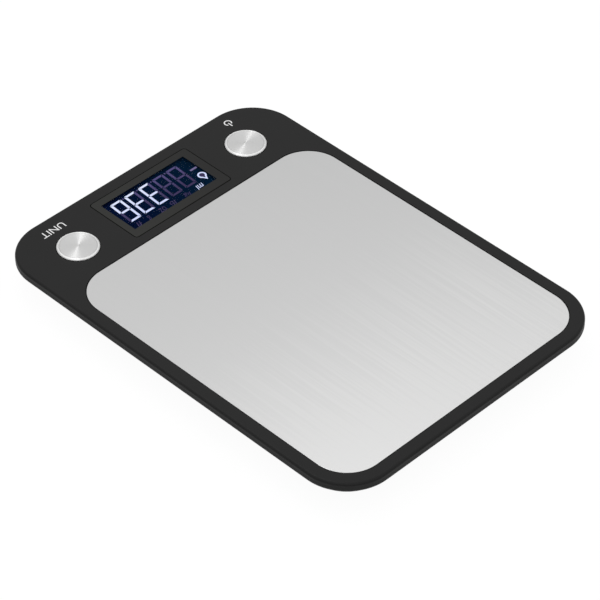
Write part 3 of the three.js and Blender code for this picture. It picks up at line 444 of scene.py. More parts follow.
def spun_steel():
    """Turned stainless: circular grain about the piece's own middle, with a real bright-cut chamfer whose
    near-white colour is a painted highlight.
    """
    n = Nodes("spun_stainless", 0.4, metal=1.0)
    own = n.add("ShaderNodeTexCoord").outputs["Generated"]
    apart = n.add("ShaderNodeSeparateXYZ")
    n.link(own, apart.inputs["Vector"])
    x = n.math("SUBTRACT", apart.outputs["X"], 0.5)
    y = n.math("SUBTRACT", apart.outputs["Y"], 0.5)
    squares = n.math("ADD", n.math("MULTIPLY", x, x), n.math("MULTIPLY", y, y))
    radius = n.math("POWER", squares, 0.5)
    rings = n.add("ShaderNodeTexNoise", noise_dimensions="1D")
    rings.inputs["Scale"].default_value = 220.0
    rings.inputs["Detail"].default_value = 3.0
    n.link(radius, rings.inputs["W"])
    grooves = rings.outputs["Fac"]
    face = n.mixed(n.span(grooves, 0.0, 1.0), (0.655, 0.655, 0.652), (0.705, 0.705, 0.702))
    # Painted highlight: the bright-cut chamfer ring gets a near-white colour, brighter than the steel,
    # which stands in for its glint.
    rim = n.span(radius, 0.0, 1.0, 0.450, 0.458)
    n.colour(n.mixed(rim, face, (0.92, 0.92, 0.915)))
    groove = n.math("MULTIPLY", n.span(radius, 0.0, 1.0, 0.424, 0.430),
                    n.span(radius, 1.0, 0.0, 0.438, 0.444))
    n.link(n.math("ADD", n.span(grooves, 0.36, 0.44), n.math("MULTIPLY", groove, 0.1)),
           n.shader.inputs["Roughness"])
    n.shader.inputs["Anisotropic"].default_value = 0.95
    n.shader.inputs["Anisotropic Rotation"].default_value = 0.25
    round_it = n.add("ShaderNodeTangent", direction_type="RADIAL", axis="Z")
    n.link(round_it.outputs["Tangent"], n.shader.inputs["Tangent"])
    n.bump(grooves, 3e-6)
    return n.material


def lcd_face():
    """Negative polariser: teal at the -X end, navy at the +X end."""
    n = Nodes("lcd_negative", 0.35, specular=0.0)
    apart = n.axes()
    slow = n.noise(even(90.0))
    along = n.span(apart["X"], 0.0, 1.0, -0.026, 0.02)
    mixed = n.math("ADD", n.math("MULTIPLY", along, 0.8), n.math("MULTIPLY", slow, 0.2))
    colour = n.mixed(mixed, (0.0006, 0.0140, 0.038), (0.0010, 0.0050, 0.034))
    n.colour(colour)
    n.link(colour, n.shader.inputs["Emission Color"])
    n.shader.inputs["Emission Strength"].default_value = 0.15
    n.bump(n.noise(even(3000.0)), 5e-7)
    return n.material


def glowing(name, low, high, strength):
    """A display segment, lit from behind: brighter towards -Y, a little uneven."""
    n = Nodes(name, 0.5, specular=0.0)
    apart = n.axes()
    near = n.span(apart["Y"], 1.0, 0.0, -0.1005, -0.088)
    fine = n.span(n.noise(even(500.0)), 0.0, 1.0)
    colour = n.mixed(n.math("ADD", n.math("MULTIPLY", near, 0.8), n.math("MULTIPLY", fine, 0.2)), low, high)
    n.shader.inputs["Base Color"].default_value = (0.02, 0.02, 0.03, 1)
    n.link(colour, n.shader.inputs["Emission Color"])
    n.shader.inputs["Emission Strength"].default_value = strength
    return n.material


def smoked_window():
    """Tinted clear acrylic: mostly open, with a faint gloss."""
    n = Nodes("smoked_acrylic", 0.08, specular=0.03)
    n.colour(n.mixed(n.noise(even(70.0)), (0.002, 0.003, 0.004), (0.004, 0.005, 0.006)))
    n.shader.inputs["Alpha"].default_value = 0.12
    return n.material


def window_border():
    """The printed olive-grey border of the window, lighter and greener towards the +X end."""
    n = Nodes("window_border", 0.12, specular=0.2)
    slow = n.noise(even(120.0), 3.0)
    apart = n.axes()
    along = n.span(apart["X"], 0.0, 0.8, -0.03, 0.03)
    uneven = n.math("ADD", along, n.math("MULTIPLY", slow, 0.2))
    n.colour(n.mixed(uneven, (0.0028, 0.0026, 0.0025), (0.0160, 0.0167, 0.0145)))
    n.bump(n.noise(even(1500.0)), 4e-7)
    return n.material


def printed(name, low, high):
    """Screen-printed ink, a little uneven."""
    n = Nodes(name, 0.55, specular=0.3)
    n.colour(n.mixed(n.span(n.noise(even(1500.0)), 0.0, 1.0), low, high))
    n.bump(n.noise(even(4000.0)), 1.5e-6)
    return n.material


def circuit_board():
    """Green solder mask with paler copper tracks under it."""
    n = Nodes("solder_mask", 0.38)
    brick = n.add("ShaderNodeTexBrick")
    brick.inputs["Color1"].default_value = (0.010, 0.085, 0.030, 1)
    brick.inputs["Color2"].default_value = (0.013, 0.095, 0.034, 1)
    brick.inputs["Mortar"].default_value = (0.030, 0.17, 0.06, 1)
    brick.inputs["Scale"].default_value = 1.0
    brick.inputs["Mortar Size"].default_value = 0.12
    brick.inputs["Brick Width"].default_value = 3.4
    brick.inputs["Row Height"].default_value = 1.3
    n.link(n.stretched(even(700.0)), brick.inputs["Vector"])
    n.colour(brick.outputs["Color"])
    n.bump(brick.outputs["Fac"], 2e-5)
    return n.material


def battery_can(own_box):
    """A plain printed jacket with a copper band at one end."""
    n = Nodes("battery_jacket", 0.3)
    apart = n.axes()
    band_end = own_box[0].x + 0.0125
    band = n.span(apart["X"], 0.0, 1.0, band_end, band_end + 0.0003)
    mixed = n.math("ADD", n.math("MULTIPLY", band, 0.94), n.math("MULTIPLY", n.noise(even(300.0)), 0.06))
    n.colour(n.mixed(mixed, (0.42, 0.20, 0.07), (0.022, 0.085, 0.19)))
    n.shader.inputs["Metallic"].default_value = 0.35
    n.bump(n.noise(even(900.0)), 2e-6)
    return n.material


BLACK = black_plastic()
RUBBER = mottled("foot_rubber", (0.010, 0.010, 0.010), (0.020, 0.020, 0.019), (0.75, 0.9),
                 grain=2200.0, relief=1.2e-5, specular=0.3)
BRUSHED = brushed_steel()
SPUN = spun_steel()
ZINC = mottled("zinc_plated", (0.40, 0.41, 0.43), (0.50, 0.50, 0.50), (0.3, 0.42),
               grain=700.0, relief=3e-6, patch=120.0, metal=1.0)
WINDOW = smoked_window()
BORDER = window_border()
LCD_FACE = lcd_face()
LIT = glowing("segment_lit", (0.64, 0.70, 1.0), (0.75, 0.81, 1.0), 1.3)
DIM = glowing("segment_dim", (0.19, 0.16, 0.34), (0.23, 0.20, 0.38), 1.0)
GHOST = glowing("segment_ghost", (0.042, 0.028, 0.090), (0.110, 0.092, 0.260), 1.0)
WHITE_INK = printed("legend_ink", (0.72, 0.72, 0.72), (0.84, 0.84, 0.84))


# Case top ------------------------------------------------------------------------------------

def case_top():
    """The case top: rim, skin, plate recess, window seat, key holes, ribs and screw bosses."""
    levels = bottom_round(RIM_BOTTOM_ROUND, RIM_BOTTOM) + top_round(RIM_TOP_ROUND, RIM_TOP, 10)
    body = slab(CASE_WIDTH, CASE_LENGTH, CASE_CORNER, levels, steps=36)
    body = sliced(body, (-KEY_X, 0, KEY_X), (KEY_Y, PLATE_Y))
    size = (CASE_WIDTH - 2 * SKIRT_WALL, CASE_LENGTH - 2 * SKIRT_WALL, CASE_CORNER - SKIRT_WALL)
    hollow = slab(*size, [(0, 0), (0, WEB_UNDER)], steps=24)
    front = as_shell(carve("front", slab(*size, [(0, WEB_UNDER - 1), (0, SKIN_UNDER)], steps=24), [
        ("DIFFERENCE", box(-200, 200, DISPLAY_ZONE_Y, 200, 0, 40)),
    ]))
    whole = as_shell(carve("hollow_top", body, [("DIFFERENCE", hollow), ("DIFFERENCE", front)]))

    recess_edge = flare(RECESS_ROUND, RIM_TOP) + [(-RECESS_ROUND, RIM_TOP + 1)]
    recess = slab(PLATE_WIDTH + 2 * PLATE_MARGIN, PLATE_LENGTH + 2 * PLATE_MARGIN,
                  PLATE_CORNER + PLATE_MARGIN, [(0, RECESS_Z)] + recess_edge, 0, PLATE_Y, 30)
    seat_edge = flare(SEAT_ROUND, RIM_TOP, 4) + [(-SEAT_ROUND, RIM_TOP + 1)]
    seat = slab(LENS_WIDTH + 2 * LENS_MARGIN, LENS_LENGTH + 2 * LENS_MARGIN,
                LENS_CORNER + LENS_MARGIN, [(0, LENS_SEAT)] + seat_edge, 0, LENS_Y, 10)
    hole_edge = flare(KEY_HOLE_ROUND, RIM_TOP, 4) + [(-KEY_HOLE_ROUND, RIM_TOP + 1)]
    hole = [(KEY_HOLE - inset, z) for inset, z in [(0, 15)] + hole_edge]
    holes = [turned(hole, x, KEY_Y) for x in (-KEY_X, KEY_X)]
    view = slab(VIEW_WIDTH, VIEW_LENGTH, VIEW_CORNER, [(0, 15), (0, LENS_SEAT + 0.5)], VIEW_X, VIEW_Y, 6)
    bay = box(-BAY_HALF_LENGTH - 4, BAY_HALF_LENGTH + 4, BAY_Y - 15.2, BAY_Y + 15.2, 14, 16)

    rib_z = (WEB_UNDER - TOP_RIB_HEIGHT, WEB_UNDER + 0.2)
    ribs = [box(x - RIB_HALF, x + RIB_HALF, -60, 92, *rib_z) for x in (-66, 66)]
    cross_ribs = [box(-66, 66, y - RIB_HALF, y + RIB_HALF, *rib_z) for y in (78, -36)]
    boss_places = grid(35.3, (-100.5, -79.5))
    bosses = [turned([(2.8, 11.92), (2.8, SKIN_UNDER + 0.2)], x, y, 32) for x, y in boss_places]
    boss_holes = [turned([(1.2, 10.9), (1.2, SKIN_UNDER - 0.6)], x, y, 24) for x, y in boss_places]
    web_holes = [turned([(1.55, 14.2), (1.55, RECESS_Z - 0.3)], x, y, 24)
                 for x, y in grid(49, (PLATE_Y - 41, PLATE_Y + 41))]
    obj = shade(carve("case_top", whole, [
        ("DIFFERENCE", joined([recess, seat] + holes)), ("DIFFERENCE", view), ("DIFFERENCE", bay),
        ("UNION", joined(ribs)), ("UNION", joined(cross_ribs)), ("UNION", joined(bosses)),
        ("DIFFERENCE", joined(boss_holes + web_holes)),
    ]))
    return place(obj, "floating_top", BLACK, ["top_cover"])


def weighing_plate():
    """The steel plate, with a softened lower edge and a rounded upper one."""
    levels = [(0.15, PLATE_BOTTOM), (0, PLATE_BOTTOM + 0.12)] + top_round(PLATE_ROUND, PLATE_TOP, 6)
    shell = slab(PLATE_WIDTH, PLATE_LENGTH, PLATE_CORNER, levels, 0, PLATE_Y, 32)
    obj = shade(mesh_object("weighing_plate", shell), 50)
    return place(obj, "floating_top", BRUSHED, ["steel_plate"])


# Display -------------------------------------------------------------------------------------

def display_window():
    """The window: clear in the middle, with a border printed around the display on both faces."""
    steps = 10
    levels = [(0.12, LENS_BOTTOM), (0, LENS_BOTTOM + 0.12)] + top_round(0.22, LENS_TOP, 4)
    verts, faces = slab(LENS_WIDTH, LENS_LENGTH, LENS_CORNER, levels, 0, LENS_Y, steps)
    count = 4 * (steps + 1)
    faces = faces[1:-1]
    clear = []
    for level, z, width, length, x, y in (
            (0, LENS_BOTTOM, BACK_WIDTH, BACK_LENGTH, BACK_X, BACK_Y),
            (len(levels) - 1, LENS_TOP, FRONT_WIDTH, FRONT_LENGTH, FRONT_X, FRONT_Y)):
        first = len(verts)
        verts += [(x + sx * width / 2, y + sy * length / 2, z)
                  for sx, sy in ((1, -1), (1, 1), (-1, 1), (-1, -1))]
        middle = [first + i for i in range(4)]
        for corner in range(4):
            fan = [level * count + corner * (steps + 1) + i for i in range(steps + 1)]
            following = level * count + ((corner + 1) * (steps + 1)) % count
            face = [middle[corner], *fan, following, middle[(corner + 1) % 4]]
            faces.append(tuple(face if level else face[::-1]))
        faces.append(tuple(middle if level else middle[::-1]))
        clear.append(len(faces) - 1)
    obj = mesh_object("display_window", (verts, faces))
    obj.data.polygons.foreach_set("material_index", [int(i in clear) for i in range(len(faces))])
    shade(obj, 50)
    printed_faces = [polygon.material_index for polygon in obj.data.polygons]
    place(obj, "floating_top", [BORDER, WINDOW], ["display_lens"])
    obj.data.polygons.foreach_set("material_index", printed_faces)
    return obj


def plaque(outline, bottom=FACE_TOP, top=MARK_TOP):
    """A thin flat mark with the given outline."""
    return loft([(outline, bottom), (outline, top)])


DIGIT_WIDTH, DIGIT_HEIGHT, STROKE, SLANT = 6.7, 15.9, 1.2, 0.056
DIGIT_PITCH, FIRST_DIGIT_X, DIGIT_Y = 8.82, -19.25, -100.7
DROP_X, DROP_Y = -23.45, -86.9
UNIT_MARKS = (("kg", -8.75, 4.0), ("lb", 0.05, 3.6), ("oz", 6.85, 4.0), ("g", 15.35, 2.0),
              ("fl", 21.65, 3.0))
SEGMENTS = "abcdefg"
LIT_SEGMENTS = {"3": "abcdg", "6": "acdefg", " ": ""}
SHOWN = "  336"


def segment_outline(which):
    """One seven-segment bar in its digit's own frame, from the lower left corner."""
    w, h, t, gap = DIGIT_WIDTH, DIGIT_HEIGHT, STROKE, 0.16
    half = h / 2
    bars = {
        "a": [(gap + 0.2, h), (w - gap - 0.2, h), (w - t - gap, h - t), (t + gap, h - t)],
        "d": [(gap + 0.2, 0), (t + gap, t), (w - t - gap, t), (w - gap - 0.2, 0)],
        "f": [(0, h - gap - 0.2), (t, h - t - gap), (t, half + gap + t / 2), (0, half + gap)],
        "e": [(0, half - gap), (t, half - gap - t / 2), (t, t + gap), (0, gap + 0.2)],
        "b": [(w, h - gap - 0.2), (w, half + gap), (w - t, half + gap + t / 2), (w - t, h - t - gap)],
        "c": [(w, half - gap), (w, gap + 0.2), (w - t, t + gap), (w - t, half - gap - t / 2)],
        "g": [(t / 2 + gap, half), (t + gap, half + t / 2), (w - t - gap, half + t / 2),
              (w - t / 2 - gap, half), (w - t - gap, half - t / 2), (t + gap, half - t / 2)],
    }
    points = [(x + SLANT * y, y) for x, y in bars[which]]
    area = sum(a[0] * b[1] - b[0] * a[1] for a, b in zip(points, points[1:] + points[:1]))
    return points if area > 0 else points[::-1]


def droplet(radius):
    """The drop's outline, a round belly with its point towards +Y."""
    belly = arc(radius, -238, 58, 40, DROP_X, DROP_Y)
    return belly + [(DROP_X, DROP_Y + 1.86 * radius)]


def band(outer, inner):
    """A flat closed frame between two outlines with the same number of points."""
    count = len(outer)
    up = 2 * count
    verts = [(x, y, z) for z in (FACE_TOP, MARK_TOP) for x, y in outer + inner]
    faces = []
    for i in range(count):
        j = (i + 1) % count
        o0, o1, n0, n1 = i, j, count + i, count + j
        faces += [(up + o0, up + o1, up + n1, up + n0), (o1, o0, n0, n1),
                  (o0, o1, up + o1, up + o0), (n1, n0, up + n0, up + n1)]
    return verts, faces


def lettering(name, text, size, x, y, z, thick, slant=0.0):
    """Flat letters of a (width, height) from Blender's own font, centred on a point."""
    curve = bpy.data.curves.new(name, "FONT")
    curve.body = text
    curve.align_x = "CENTER"
    curve.align_y = "CENTER"
    curve.extrude = 0.01
    curve.shear = slant
    curve.resolution_u = 4
    letters = bpy.data.objects.new(name, curve)
    bpy.context.scene.collection.objects.link(letters)
    graph = bpy.context.evaluated_depsgraph_get()
    mesh = bpy.data.meshes.new_from_object(letters.evaluated_get(graph))
    bpy.data.objects.remove(letters)
    bpy.data.curves.remove(curve)
    xs = [v.co.x for v in mesh.vertices]
    ys = [v.co.y for v in mesh.vertices]
    wide, tall = size[0] / (max(xs) - min(xs)), size[1] / (max(ys) - min(ys))
    mid_x, mid_y = (max(xs) + min(xs)) / 2, (max(ys) + min(ys)) / 2
    for v in mesh.vertices:
        v.co = Vector((x + (v.co.x - mid_x) * wide, y + (v.co.y - mid_y) * tall,
                       z + (thick if v.co.z > 0 else 0.0))) * MM
    obj = bpy.data.objects.new(name, mesh)
    bpy.context.scene.collection.objects.link(obj)
    work = bmesh.new()
    work.from_mesh(mesh)
    bmesh.ops.remove_doubles(work, verts=work.verts, dist=1e-7)
    bmesh.ops.recalc_face_normals(work, faces=work.faces)
    work.to_mesh(mesh)
    work.free()
    return obj


def display_marks():
    """Lit and unlit marks of the display, each kind as one piece, and its words."""
    lit, ghost = [], []
    for index, digit in enumerate(SHOWN):
        left = FIRST_DIGIT_X + index * DIGIT_PITCH
        for which in SEGMENTS:
            shell = moved(plaque(segment_outline(which)), left, DIGIT_Y)
            (lit if which in LIT_SEGMENTS[digit] else ghost).append(shell)
        if index < len(SHOWN) - 1:
            dot = rounded(0.8, 0.8, 0.25, left + DIGIT_WIDTH + 0.95, DIGIT_Y + 0.7, 3)
            ghost.append(plaque(dot))
    lit.append(band(droplet(2.25), droplet(1.4)))
    ghost.append(plaque(droplet(1.1)))
    minus = plaque(rounded(4.0, 1.1, 0.1, -23.65, -93.05, 2))
    marks = [
        (mesh_object("display_lit", joined(lit)), LIT),
        (mesh_object("display_ghost", joined(ghost)), GHOST),
        (mesh_object("display_minus", minus), DIM),
    ]
    ink = (FACE_TOP, MARK_TOP - FACE_TOP, 0.25)
    marks.append((lettering("display_unit", "ml", (4.4, 3.7), -17.05, -81.15, *ink), LIT))
    for text, x, width in UNIT_MARKS:
        marks.append((lettering("display_unit_" + text, text, (width, 3.2), x, -81.35, *ink), GHOST))
    for obj, finish in marks:
        place(obj, "floating_top", finish)


def display_panel():
    """The display's upper filter, which fills the opening under the window."""
    levels = [(0, FACE_BOTTOM), (0, FACE_TOP - 0.03), (0.03, FACE_TOP)]
    shell = slab(VIEW_WIDTH - 0.24, VIEW_LENGTH - 0.24, VIEW_CORNER, levels, VIEW_X, VIEW_Y, 6)
    obj = shade(mesh_object("display_face", shell))
    return place(obj, "floating_top", LCD_FACE, ["lcd_polariser"])


# Keys and legends ----------------------------------------------------------------------------

def key_cap(name, side, body):
    """A turned cap: bright-cut chamfer, narrow land, fine groove and a barely dished face."""
    r, top = CAP_RADIUS, CAP_TOP
    face, dish = r - 1.75, 0.10
    profile = [(0, CAP_BOTTOM), (r - 0.15, CAP_BOTTOM), (r, CAP_BOTTOM + 0.15)]
    profile += [(r, top - 0.55), (r - 0.06, top - 0.42), (r - 0.55, top - 0.06), (r - 0.75, top)]
    profile += [(r - 1.0, top), (r - 1.08, top - 0.06), (r - 1.25, top - 0.12), (r - 1.42, top - 0.06)]
    profile += [(r - 1.5, top - 0.01), (face, top - 0.01)]
    profile += [(at, top - 0.01 - dish * (1 - (at / face) ** 2)) for at in (7, 5.5, 4, 2.5, 1.2)]
    profile += [(0, top - 0.01 - dish)]
    obj = shade(mesh_object(name + "_cap", turned(profile, steps=128)), 40)
    obj.location = Vector((side * KEY_X, KEY_Y, 0)) * MM
    return place(obj, body, SPUN, [name + "_button_cap"])


def power_symbol():
    """A ring with a gap towards +Y and a bar through the gap, printed on the case."""
    x, y, radius, stroke, gap = -58.26, -105.45, 1.75, 0.6, 38
    outer, inner = (arc(radius + side * stroke / 2, 90 + gap, 450 - gap, 40, x, y) for side in (1, -1))
    ring = plaque(outer + inner[::-1], RIM_TOP, RIM_TOP + INK_THICKNESS)
    bar = plaque(rounded(stroke, 2.9, 0.1, x, y + 1.65, 2), RIM_TOP, RIM_TOP + INK_THICKNESS)
    obj = mesh_object("power_symbol", joined([ring, bar]))
    return place(obj, "floating_top", WHITE_INK)


def unit_legend():
    """The word beside the unit key, printed on the case."""
    obj = lettering("unit_legend", "UNIT", (13.4, 3.9), 53.87, -104.9, RIM_TOP, INK_THICKNESS)
    return place(obj, "floating_top", WHITE_INK)


case_top()
weighing_plate()
display_window()
display_panel()
display_marks()
key_cap("power", -1, "power_button")
key_cap("unit", 1, "unit_button")
power_symbol()
unit_legend()


# Tray, feet, screws and door -----------------------------------------------------------------

def tray():
    """The tray, its wall one thickness down to the floor, with the bay, seats and ribs."""
    rise = TRAY_KNEE - TRAY_BOTTOM
    slope = TRAY_TAPER / rise
    across = TRAY_WALL * math.hypot(1, slope)
    inner_knee = TRAY_KNEE + (across - TRAY_WALL) / slope
    inner_reach = (inner_knee - TRAY_FLOOR) * slope
    size = (CASE_WIDTH - 2 * TRAY_INSET, CASE_LENGTH - 2 * TRAY_INSET, CASE_CORNER - TRAY_INSET)
    soft = 0.5
    outer = slab(*size, [(TRAY_TAPER, TRAY_BOTTOM), (soft * slope, TRAY_KNEE - soft),
                         (0.14, TRAY_KNEE - 0.1), (0, TRAY_KNEE + soft), (0, TRAY_TOP)], steps=28)
    inner_size = (size[0] - 2 * TRAY_WALL, size[1] - 2 * TRAY_WALL, size[2] - TRAY_WALL)
    inner = slab(*inner_size, [(inner_reach, TRAY_FLOOR), (0, inner_knee), (0, TRAY_TOP + 1)], steps=28)
    floor = TRAY_FLOOR - 0.2
    ribs = [box(x - RIB_HALF, x + RIB_HALF, -68, 78, floor, 8) for x in (-52, 52)]
    cross_rib = box(-52, 52, 68 - RIB_HALF, 68 + RIB_HALF, floor, 8)
    seat = box(-9, 9, PLATE_Y + 12, PLATE_Y + 32, floor, 5.4)
    stop = box(-6, 6, PLATE_Y - 30, PLATE_Y - 24, floor, 5.6)
    block = box(-28.5, 28.5, BAY_Y - 14.2, BAY_Y + 14.2, TRAY_BOTTOM + 0.5, 15.3)
    room = box(-BAY_HALF_LENGTH, BAY_HALF_LENGTH, BAY_Y - BAY_HALF_WIDTH, BAY_Y + BAY_HALF_WIDTH,
               TRAY_BOTTOM - 0.5, 14.7)
    door_seat = box(-27.3, 27.3, BAY_Y - 13, BAY_Y + 13, 1, 3.85)
    inner_y, slot_half = BAY_Y - BAY_HALF_WIDTH + 0.1, TAB_HALF + TAB_GAP
    tabs = [box(x - slot_half, x + slot_half, HINGE_Y - 2.7, inner_y, TRAY_FLOOR, 7.2)
            for x in (-TAB_X, TAB_X)]
    tab_feet = [box(x - slot_half, x + slot_half, HINGE_Y - 0.2, inner_y, TRAY_BOTTOM - 0.2, 7.1)
                for x in (-TAB_X, TAB_X)]
    latch = box(-5.1, 5.1, BAY_Y + BAY_HALF_WIDTH - 0.1, BAY_Y + 15.1, 1.2, 8.4)
    tails = [box(25, 29.5, BAY_Y + y - 1.3, BAY_Y + y + 1.3, 12.1, 13.1) for y in (-5.4, 5.4)]
    feet = [turned([(7.2, 1.2), (7.2, 3.0)], x, y, 64) for x, y in grid(FOOT_X, (-FOOT_Y, FOOT_Y))]
    sink = [(4.0, 1.2), (4.0, TRAY_BOTTOM - 0.01), (3.7, TRAY_BOTTOM + 0.3), (3.7, 3.65)]
    heads = [turned(sink, 0, PLATE_Y + offset, 48) for offset in BOLT_OFFSETS]
    shafts = [turned([(2.1, 1.2), (2.1, 13)], 0, PLATE_Y + offset, 32) for offset in BOLT_OFFSETS]
    obj = shade(carve("tray_shell", outer, [
        ("DIFFERENCE", inner), ("UNION", joined(ribs + [seat, stop])), ("UNION", cross_rib),
        ("UNION", block), ("DIFFERENCE", room), ("DIFFERENCE", door_seat), ("DIFFERENCE", joined(tabs)),
        ("DIFFERENCE", joined(tab_feet + [latch])), ("DIFFERENCE", joined(tails + feet + heads)),
        ("DIFFERENCE", joined(shafts)),
    ]))
    return place(obj, "base", BLACK, ["tray"])


def foot(index, x, y):
    """A rubber foot with a rounded edge and a shallow ring pressed in its sole."""
    profile = [(0, 0.12), (3.6, 0.12), (3.9, 0.02), (4.3, 0.0)]
    profile += [(FOOT_RADIUS - inset, z) for inset, z in bottom_round(0.7, 0.0, 6)]
    profile += [(FOOT_RADIUS, 2.85), (FOOT_RADIUS - 0.13, 2.98), (0, 2.98)]
    obj = shade(mesh_object(f"rubber_foot_{index}", turned(profile, x, y, 72)), 40)
    return place(obj, "base", RUBBER, [f"foot_{index}"])


def fixed_screw(index, y):
    """A screw with a pan head and a cross recess; the head faces down."""
    top, low, shaft_top = HEAD_TOP, HEAD_TOP - HEAD_HEIGHT, HEAD_TOP + SHAFT_LENGTH
    profile = [(0, low), (1.2, low), (2.3, low + 0.12), (3.0, low + 0.42), (3.35, low + 0.85)]
    profile += [(3.4, low + 1.1), (3.4, top), (1.95, top), (1.95, shaft_top - 0.4), (1.2, shaft_top)]
    profile += [(0, shaft_top)]
    cuts = [box(-across, across, y - along, y + along, low - 1, low + 0.7)
            for across, along in ((2.0, 0.35), (0.35, 2.0))]
    obj = shade(carve(f"seat_screw_{index}", turned(profile, 0, y, 48),
                      [("DIFFERENCE", cut) for cut in cuts]))
    return place(obj, "base", ZINC, [f"cell_base_screw_{index}"])


def door():
    """The battery door with rounded edges, finger grooves, two hinge tabs and a latch."""
    near, low = HINGE_Y, TRAY_BOTTOM
    far = near + DOOR_LENGTH
    levels = [(0.25, low), (0.07, low + 0.07), (0, low + 0.25), (0, low + DOOR_THICK)]
    plate = slab(2 * DOOR_HALF, far - near - 0.05, 0.4, levels, 0, (near + 0.05 + far) / 2, 4)
    parts = []
    for x in (-TAB_X, TAB_X):
        parts.append(box(x - TAB_HALF, x + TAB_HALF, near + 0.15, near + 1.35, low + 1.4, low + 3.4))
        parts.append(box(x - TAB_HALF, x + TAB_HALF, near - 2.2, near + 1.35, low + 2.4, low + 3.4))
    parts.append(box(-4.5, 4.5, far - 1.5, far - 0.7, low + 1.4, low + 5))
    parts.append(box(-4.5, 4.5, far - 1.5, far + 1.4, low + 4.3, low + 5))
    parts.append(box(-4.5, 4.5, far + 0.6, far + 1.4, low + 0.3, low + 5))
    groove = [(-0.3, low - 0.4), (-0.12, low), (0.02, low + 0.16), (0.22, low + 0.35)]
    grooves = [slab(16, 0.9, 0.42, groove, 0, far - 4.55 - 2 * i, 6) for i in range(3)]
    steps = [("UNION", part) for part in parts] + [("DIFFERENCE", joined(grooves))]
    obj = shade(carve("bay_door", plate, steps))
    return place(obj, "battery_door", BLACK, ["battery_door"])


tray()
for number, (foot_x, foot_y) in enumerate(grid(FOOT_X, (-FOOT_Y, FOOT_Y)), 1):
    foot(number, foot_x, foot_y)
for number, offset in enumerate(BOLT_OFFSETS, 1):
    fixed_screw(number, PLATE_Y + offset)
door()


# Materials of the CAD nodes that stay --------------------------------------------------------

def dress(finish, *names):
    """Gives CAD nodes that stay visible their finish."""
    for name in names:
        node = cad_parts[name]
        node.data.materials.clear()
        node.data.materials.append(finish)


dress(mottled("adhesive_film", (0.23, 0.23, 0.21), (0.31, 0.31, 0.29), (0.5, 0.7)), "plate_adhesive")
dress(mottled("foam_tape", (0.008, 0.008, 0.008), (0.016, 0.016, 0.016), (0.8, 0.95), 3000.0, 2e-5),
      "lens_tape")
dress(mottled("lcd_glass", (0.40, 0.48, 0.48), (0.46, 0.54, 0.54), (0.04, 0.08), 200.0, 5e-7), "lcd_panel")
dress(mottled("white_moulding", (0.70, 0.70, 0.67), (0.78, 0.78, 0.75), (0.4, 0.5)),
      "backlight_box", "power_switch_plunger", "unit_switch_plunger")
dress(mottled("light_guide", (0.66, 0.71, 0.75), (0.74, 0.78, 0.82), (0.08, 0.14), 1500.0, 4e-6),
      "backlight_guide")
dress(mottled("led_package", (0.66, 0.47, 0.08), (0.76, 0.56, 0.12), (0.25, 0.35)), "backlight_led")
dress(mottled("zebra_rubber", (0.02, 0.02, 0.026), (0.05, 0.05, 0.06), (0.7, 0.85)), "zebra_strip")
dress(mottled("black_epoxy", (0.007, 0.007, 0.007), (0.013, 0.013, 0.013), (0.25, 0.4)),
      "chip", "power_switch_base", "unit_switch_base")
dress(mottled("tantalum_case", (0.42, 0.21, 0.02), (0.50, 0.27, 0.03), (0.4, 0.5)), "capacitor")
dress(mottled("milled_aluminium", (0.50, 0.51, 0.53), (0.58, 0.59, 0.61), (0.28, 0.4), 1800.0, 4e-6,
              metal=1.0), "load_cell", "cell_base_spacer", "cell_top_spacer")
dress(mottled("silicone_potting", (0.62, 0.62, 0.58), (0.72, 0.72, 0.68), (0.4, 0.6), 500.0, 2e-5),
      "gauge_potting_top", "gauge_potting_bottom")
dress(mottled("nickel_plate", (0.58, 0.55, 0.49), (0.67, 0.64, 0.57), (0.2, 0.3), 1500.0, 1e-6,
              metal=1.0), "contact_plus", "contact_minus", "contact_bridge")
dress(ZINC, "carrier_plate", "cell_top_screw_1", "cell_top_screw_2",
      *(f"{screw}_screw_{i}" for screw in ("carrier", "pcb") for i in range(1, 5)))
dress(BLACK, "power_button_key", "unit_button_key")
dress(circuit_board(), "main_pcb")
dress(mottled("red_pvc", (0.32, 0.010, 0.010), (0.40, 0.014, 0.014), (0.3, 0.4)), "battery_wire_red")
dress(mottled("black_pvc", (0.007, 0.007, 0.007), (0.010, 0.010, 0.010), (0.3, 0.4)), "battery_wire_black")
dress(mottled("grey_pvc", (0.14, 0.15, 0.16), (0.18, 0.19, 0.20), (0.35, 0.45)), "load_cell_cable")
for battery in ("battery_1", "battery_2"):
    dress(battery_can(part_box(battery)), battery)


# Studio --------------------------------------------------------------------------------------

LIT_POINT = (0.0, 0.02, 0.018)
CAMERA_AZIMUTH, CAMERA_ELEVATION, CAMERA_ROLL = 135.32, 41.61, 0.212
CAMERA_DISTANCE, CAMERA_LENS, CAMERA_SENSOR = 1.3383, 179.08, 36.0
CAMERA_TARGET = (7.29, 9.6, 18.0)


def floor():
    """A pale floor, a little uneven in tone."""
    work = mesh_object("floor", box(-2500, 2500, -2500, 2500, -1, 0))
    n = Nodes("studio_floor", 0.9, specular=0.0)
    n.colour(n.mixed(n.noise(even(3.0)), (0.06, 0.06, 0.06), (0.07, 0.07, 0.07)))
    n.shader.inputs["Emission Color"].default_value = (1, 1, 1, 1)
    n.shader.inputs["Emission Strength"].default_value = 0.95
    work.data.materials.append(n.material)


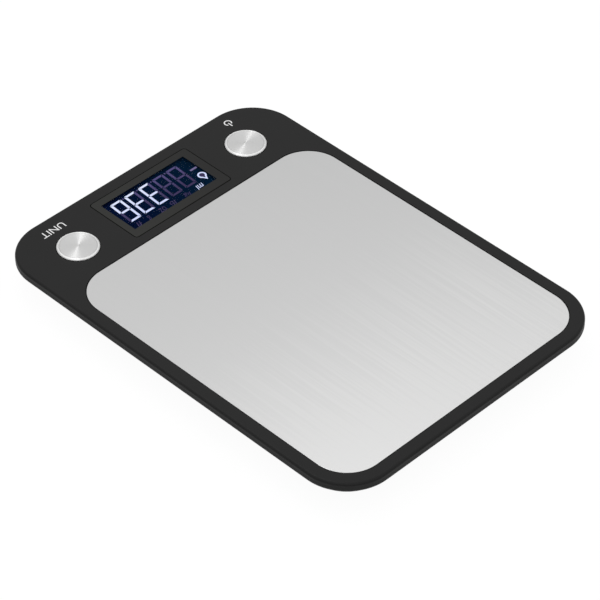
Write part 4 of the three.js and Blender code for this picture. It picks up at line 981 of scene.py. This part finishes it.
def studio_world():
    """Soft studio surroundings: dim at the horizon and bright from mid height up."""
    world = bpy.data.worlds.new("studio")
    bpy.context.scene.world = world
    world.use_nodes = True
    tree = world.node_tree
    background = tree.nodes["Background"]
    where = tree.nodes.new("ShaderNodeTexCoord")
    apart = tree.nodes.new("ShaderNodeSeparateXYZ")
    ramp = tree.nodes.new("ShaderNodeValToRGB")
    tree.links.new(where.outputs["Generated"], apart.inputs["Vector"])
    tree.links.new(apart.outputs["Z"], ramp.inputs["Fac"])
    tree.links.new(ramp.outputs["Color"], background.inputs["Color"])
    ramp.color_ramp.interpolation = "EASE"
    stops = ((0.0, 0.30), (0.30, 0.55), (0.55, 1.0), (0.90, 1.10))
    for index, (position, level) in enumerate(stops):
        stop = ramp.color_ramp.elements[index] if index < 2 else ramp.color_ramp.elements.new(position)
        stop.position = position
        stop.color = (level, level, level, 1)
    background.inputs["Strength"].default_value = 1.0


def soft_disc(name, diameter, at, radiance):
    """A round light of an even radiance that faces the middle of the plate; all in metres."""
    data = bpy.data.lights.new(name, "AREA")
    data.shape = "DISK"
    data.size = diameter
    data.energy = radiance * math.pi * (math.pi / 4 * diameter ** 2)
    light = bpy.data.objects.new(name, data)
    light.location = at
    light.rotation_euler = (Vector(at) - Vector(LIT_POINT)).to_track_quat("Z", "Y").to_euler()
    bpy.context.scene.collection.objects.link(light)


def lights():
    """A soft box that the far end of the steel catches, a small key light and a fill above the camera."""
    soft_disc("soft_box", 0.5, (-0.50, -1.2, 2.4), 2.6)
    soft_disc("small_key", 0.16, (0.0, -0.41, 1.2), 11.0)
    soft_disc("fill", 0.4, (0.75, 0.75, 1.6), 1.6)


def camera():
    """The photograph's viewing angle, from the +X +Y corner."""
    azimuth, elevation, roll = map(math.radians, (CAMERA_AZIMUTH, CAMERA_ELEVATION, CAMERA_ROLL))
    target = Vector(CAMERA_TARGET) * MM
    back = Vector((math.sin(azimuth) * math.cos(elevation), -math.cos(azimuth) * math.cos(elevation),
                   math.sin(elevation)))
    right = (-back).cross(Vector((0, 0, 1))).normalized()
    down = (-back).cross(right)
    x_axis = math.cos(roll) * right + math.sin(roll) * down
    y_axis = math.sin(roll) * right - math.cos(roll) * down
    data = bpy.data.cameras.new("view")
    data.sensor_width = CAMERA_SENSOR
    data.lens = CAMERA_LENS
    data.clip_start, data.clip_end = 0.01, 20.0
    view = bpy.data.objects.new("view", data)
    bpy.context.scene.collection.objects.link(view)
    turn = Matrix((x_axis, y_axis, back)).transposed().to_4x4()
    view.matrix_world = Matrix.Translation(target + back * CAMERA_DISTANCE) @ turn
    bpy.context.scene.camera = view


floor()
studio_world()
lights()
camera()
bpy.context.scene.view_settings.view_transform = "Standard"
bpy.context.view_layer.update()
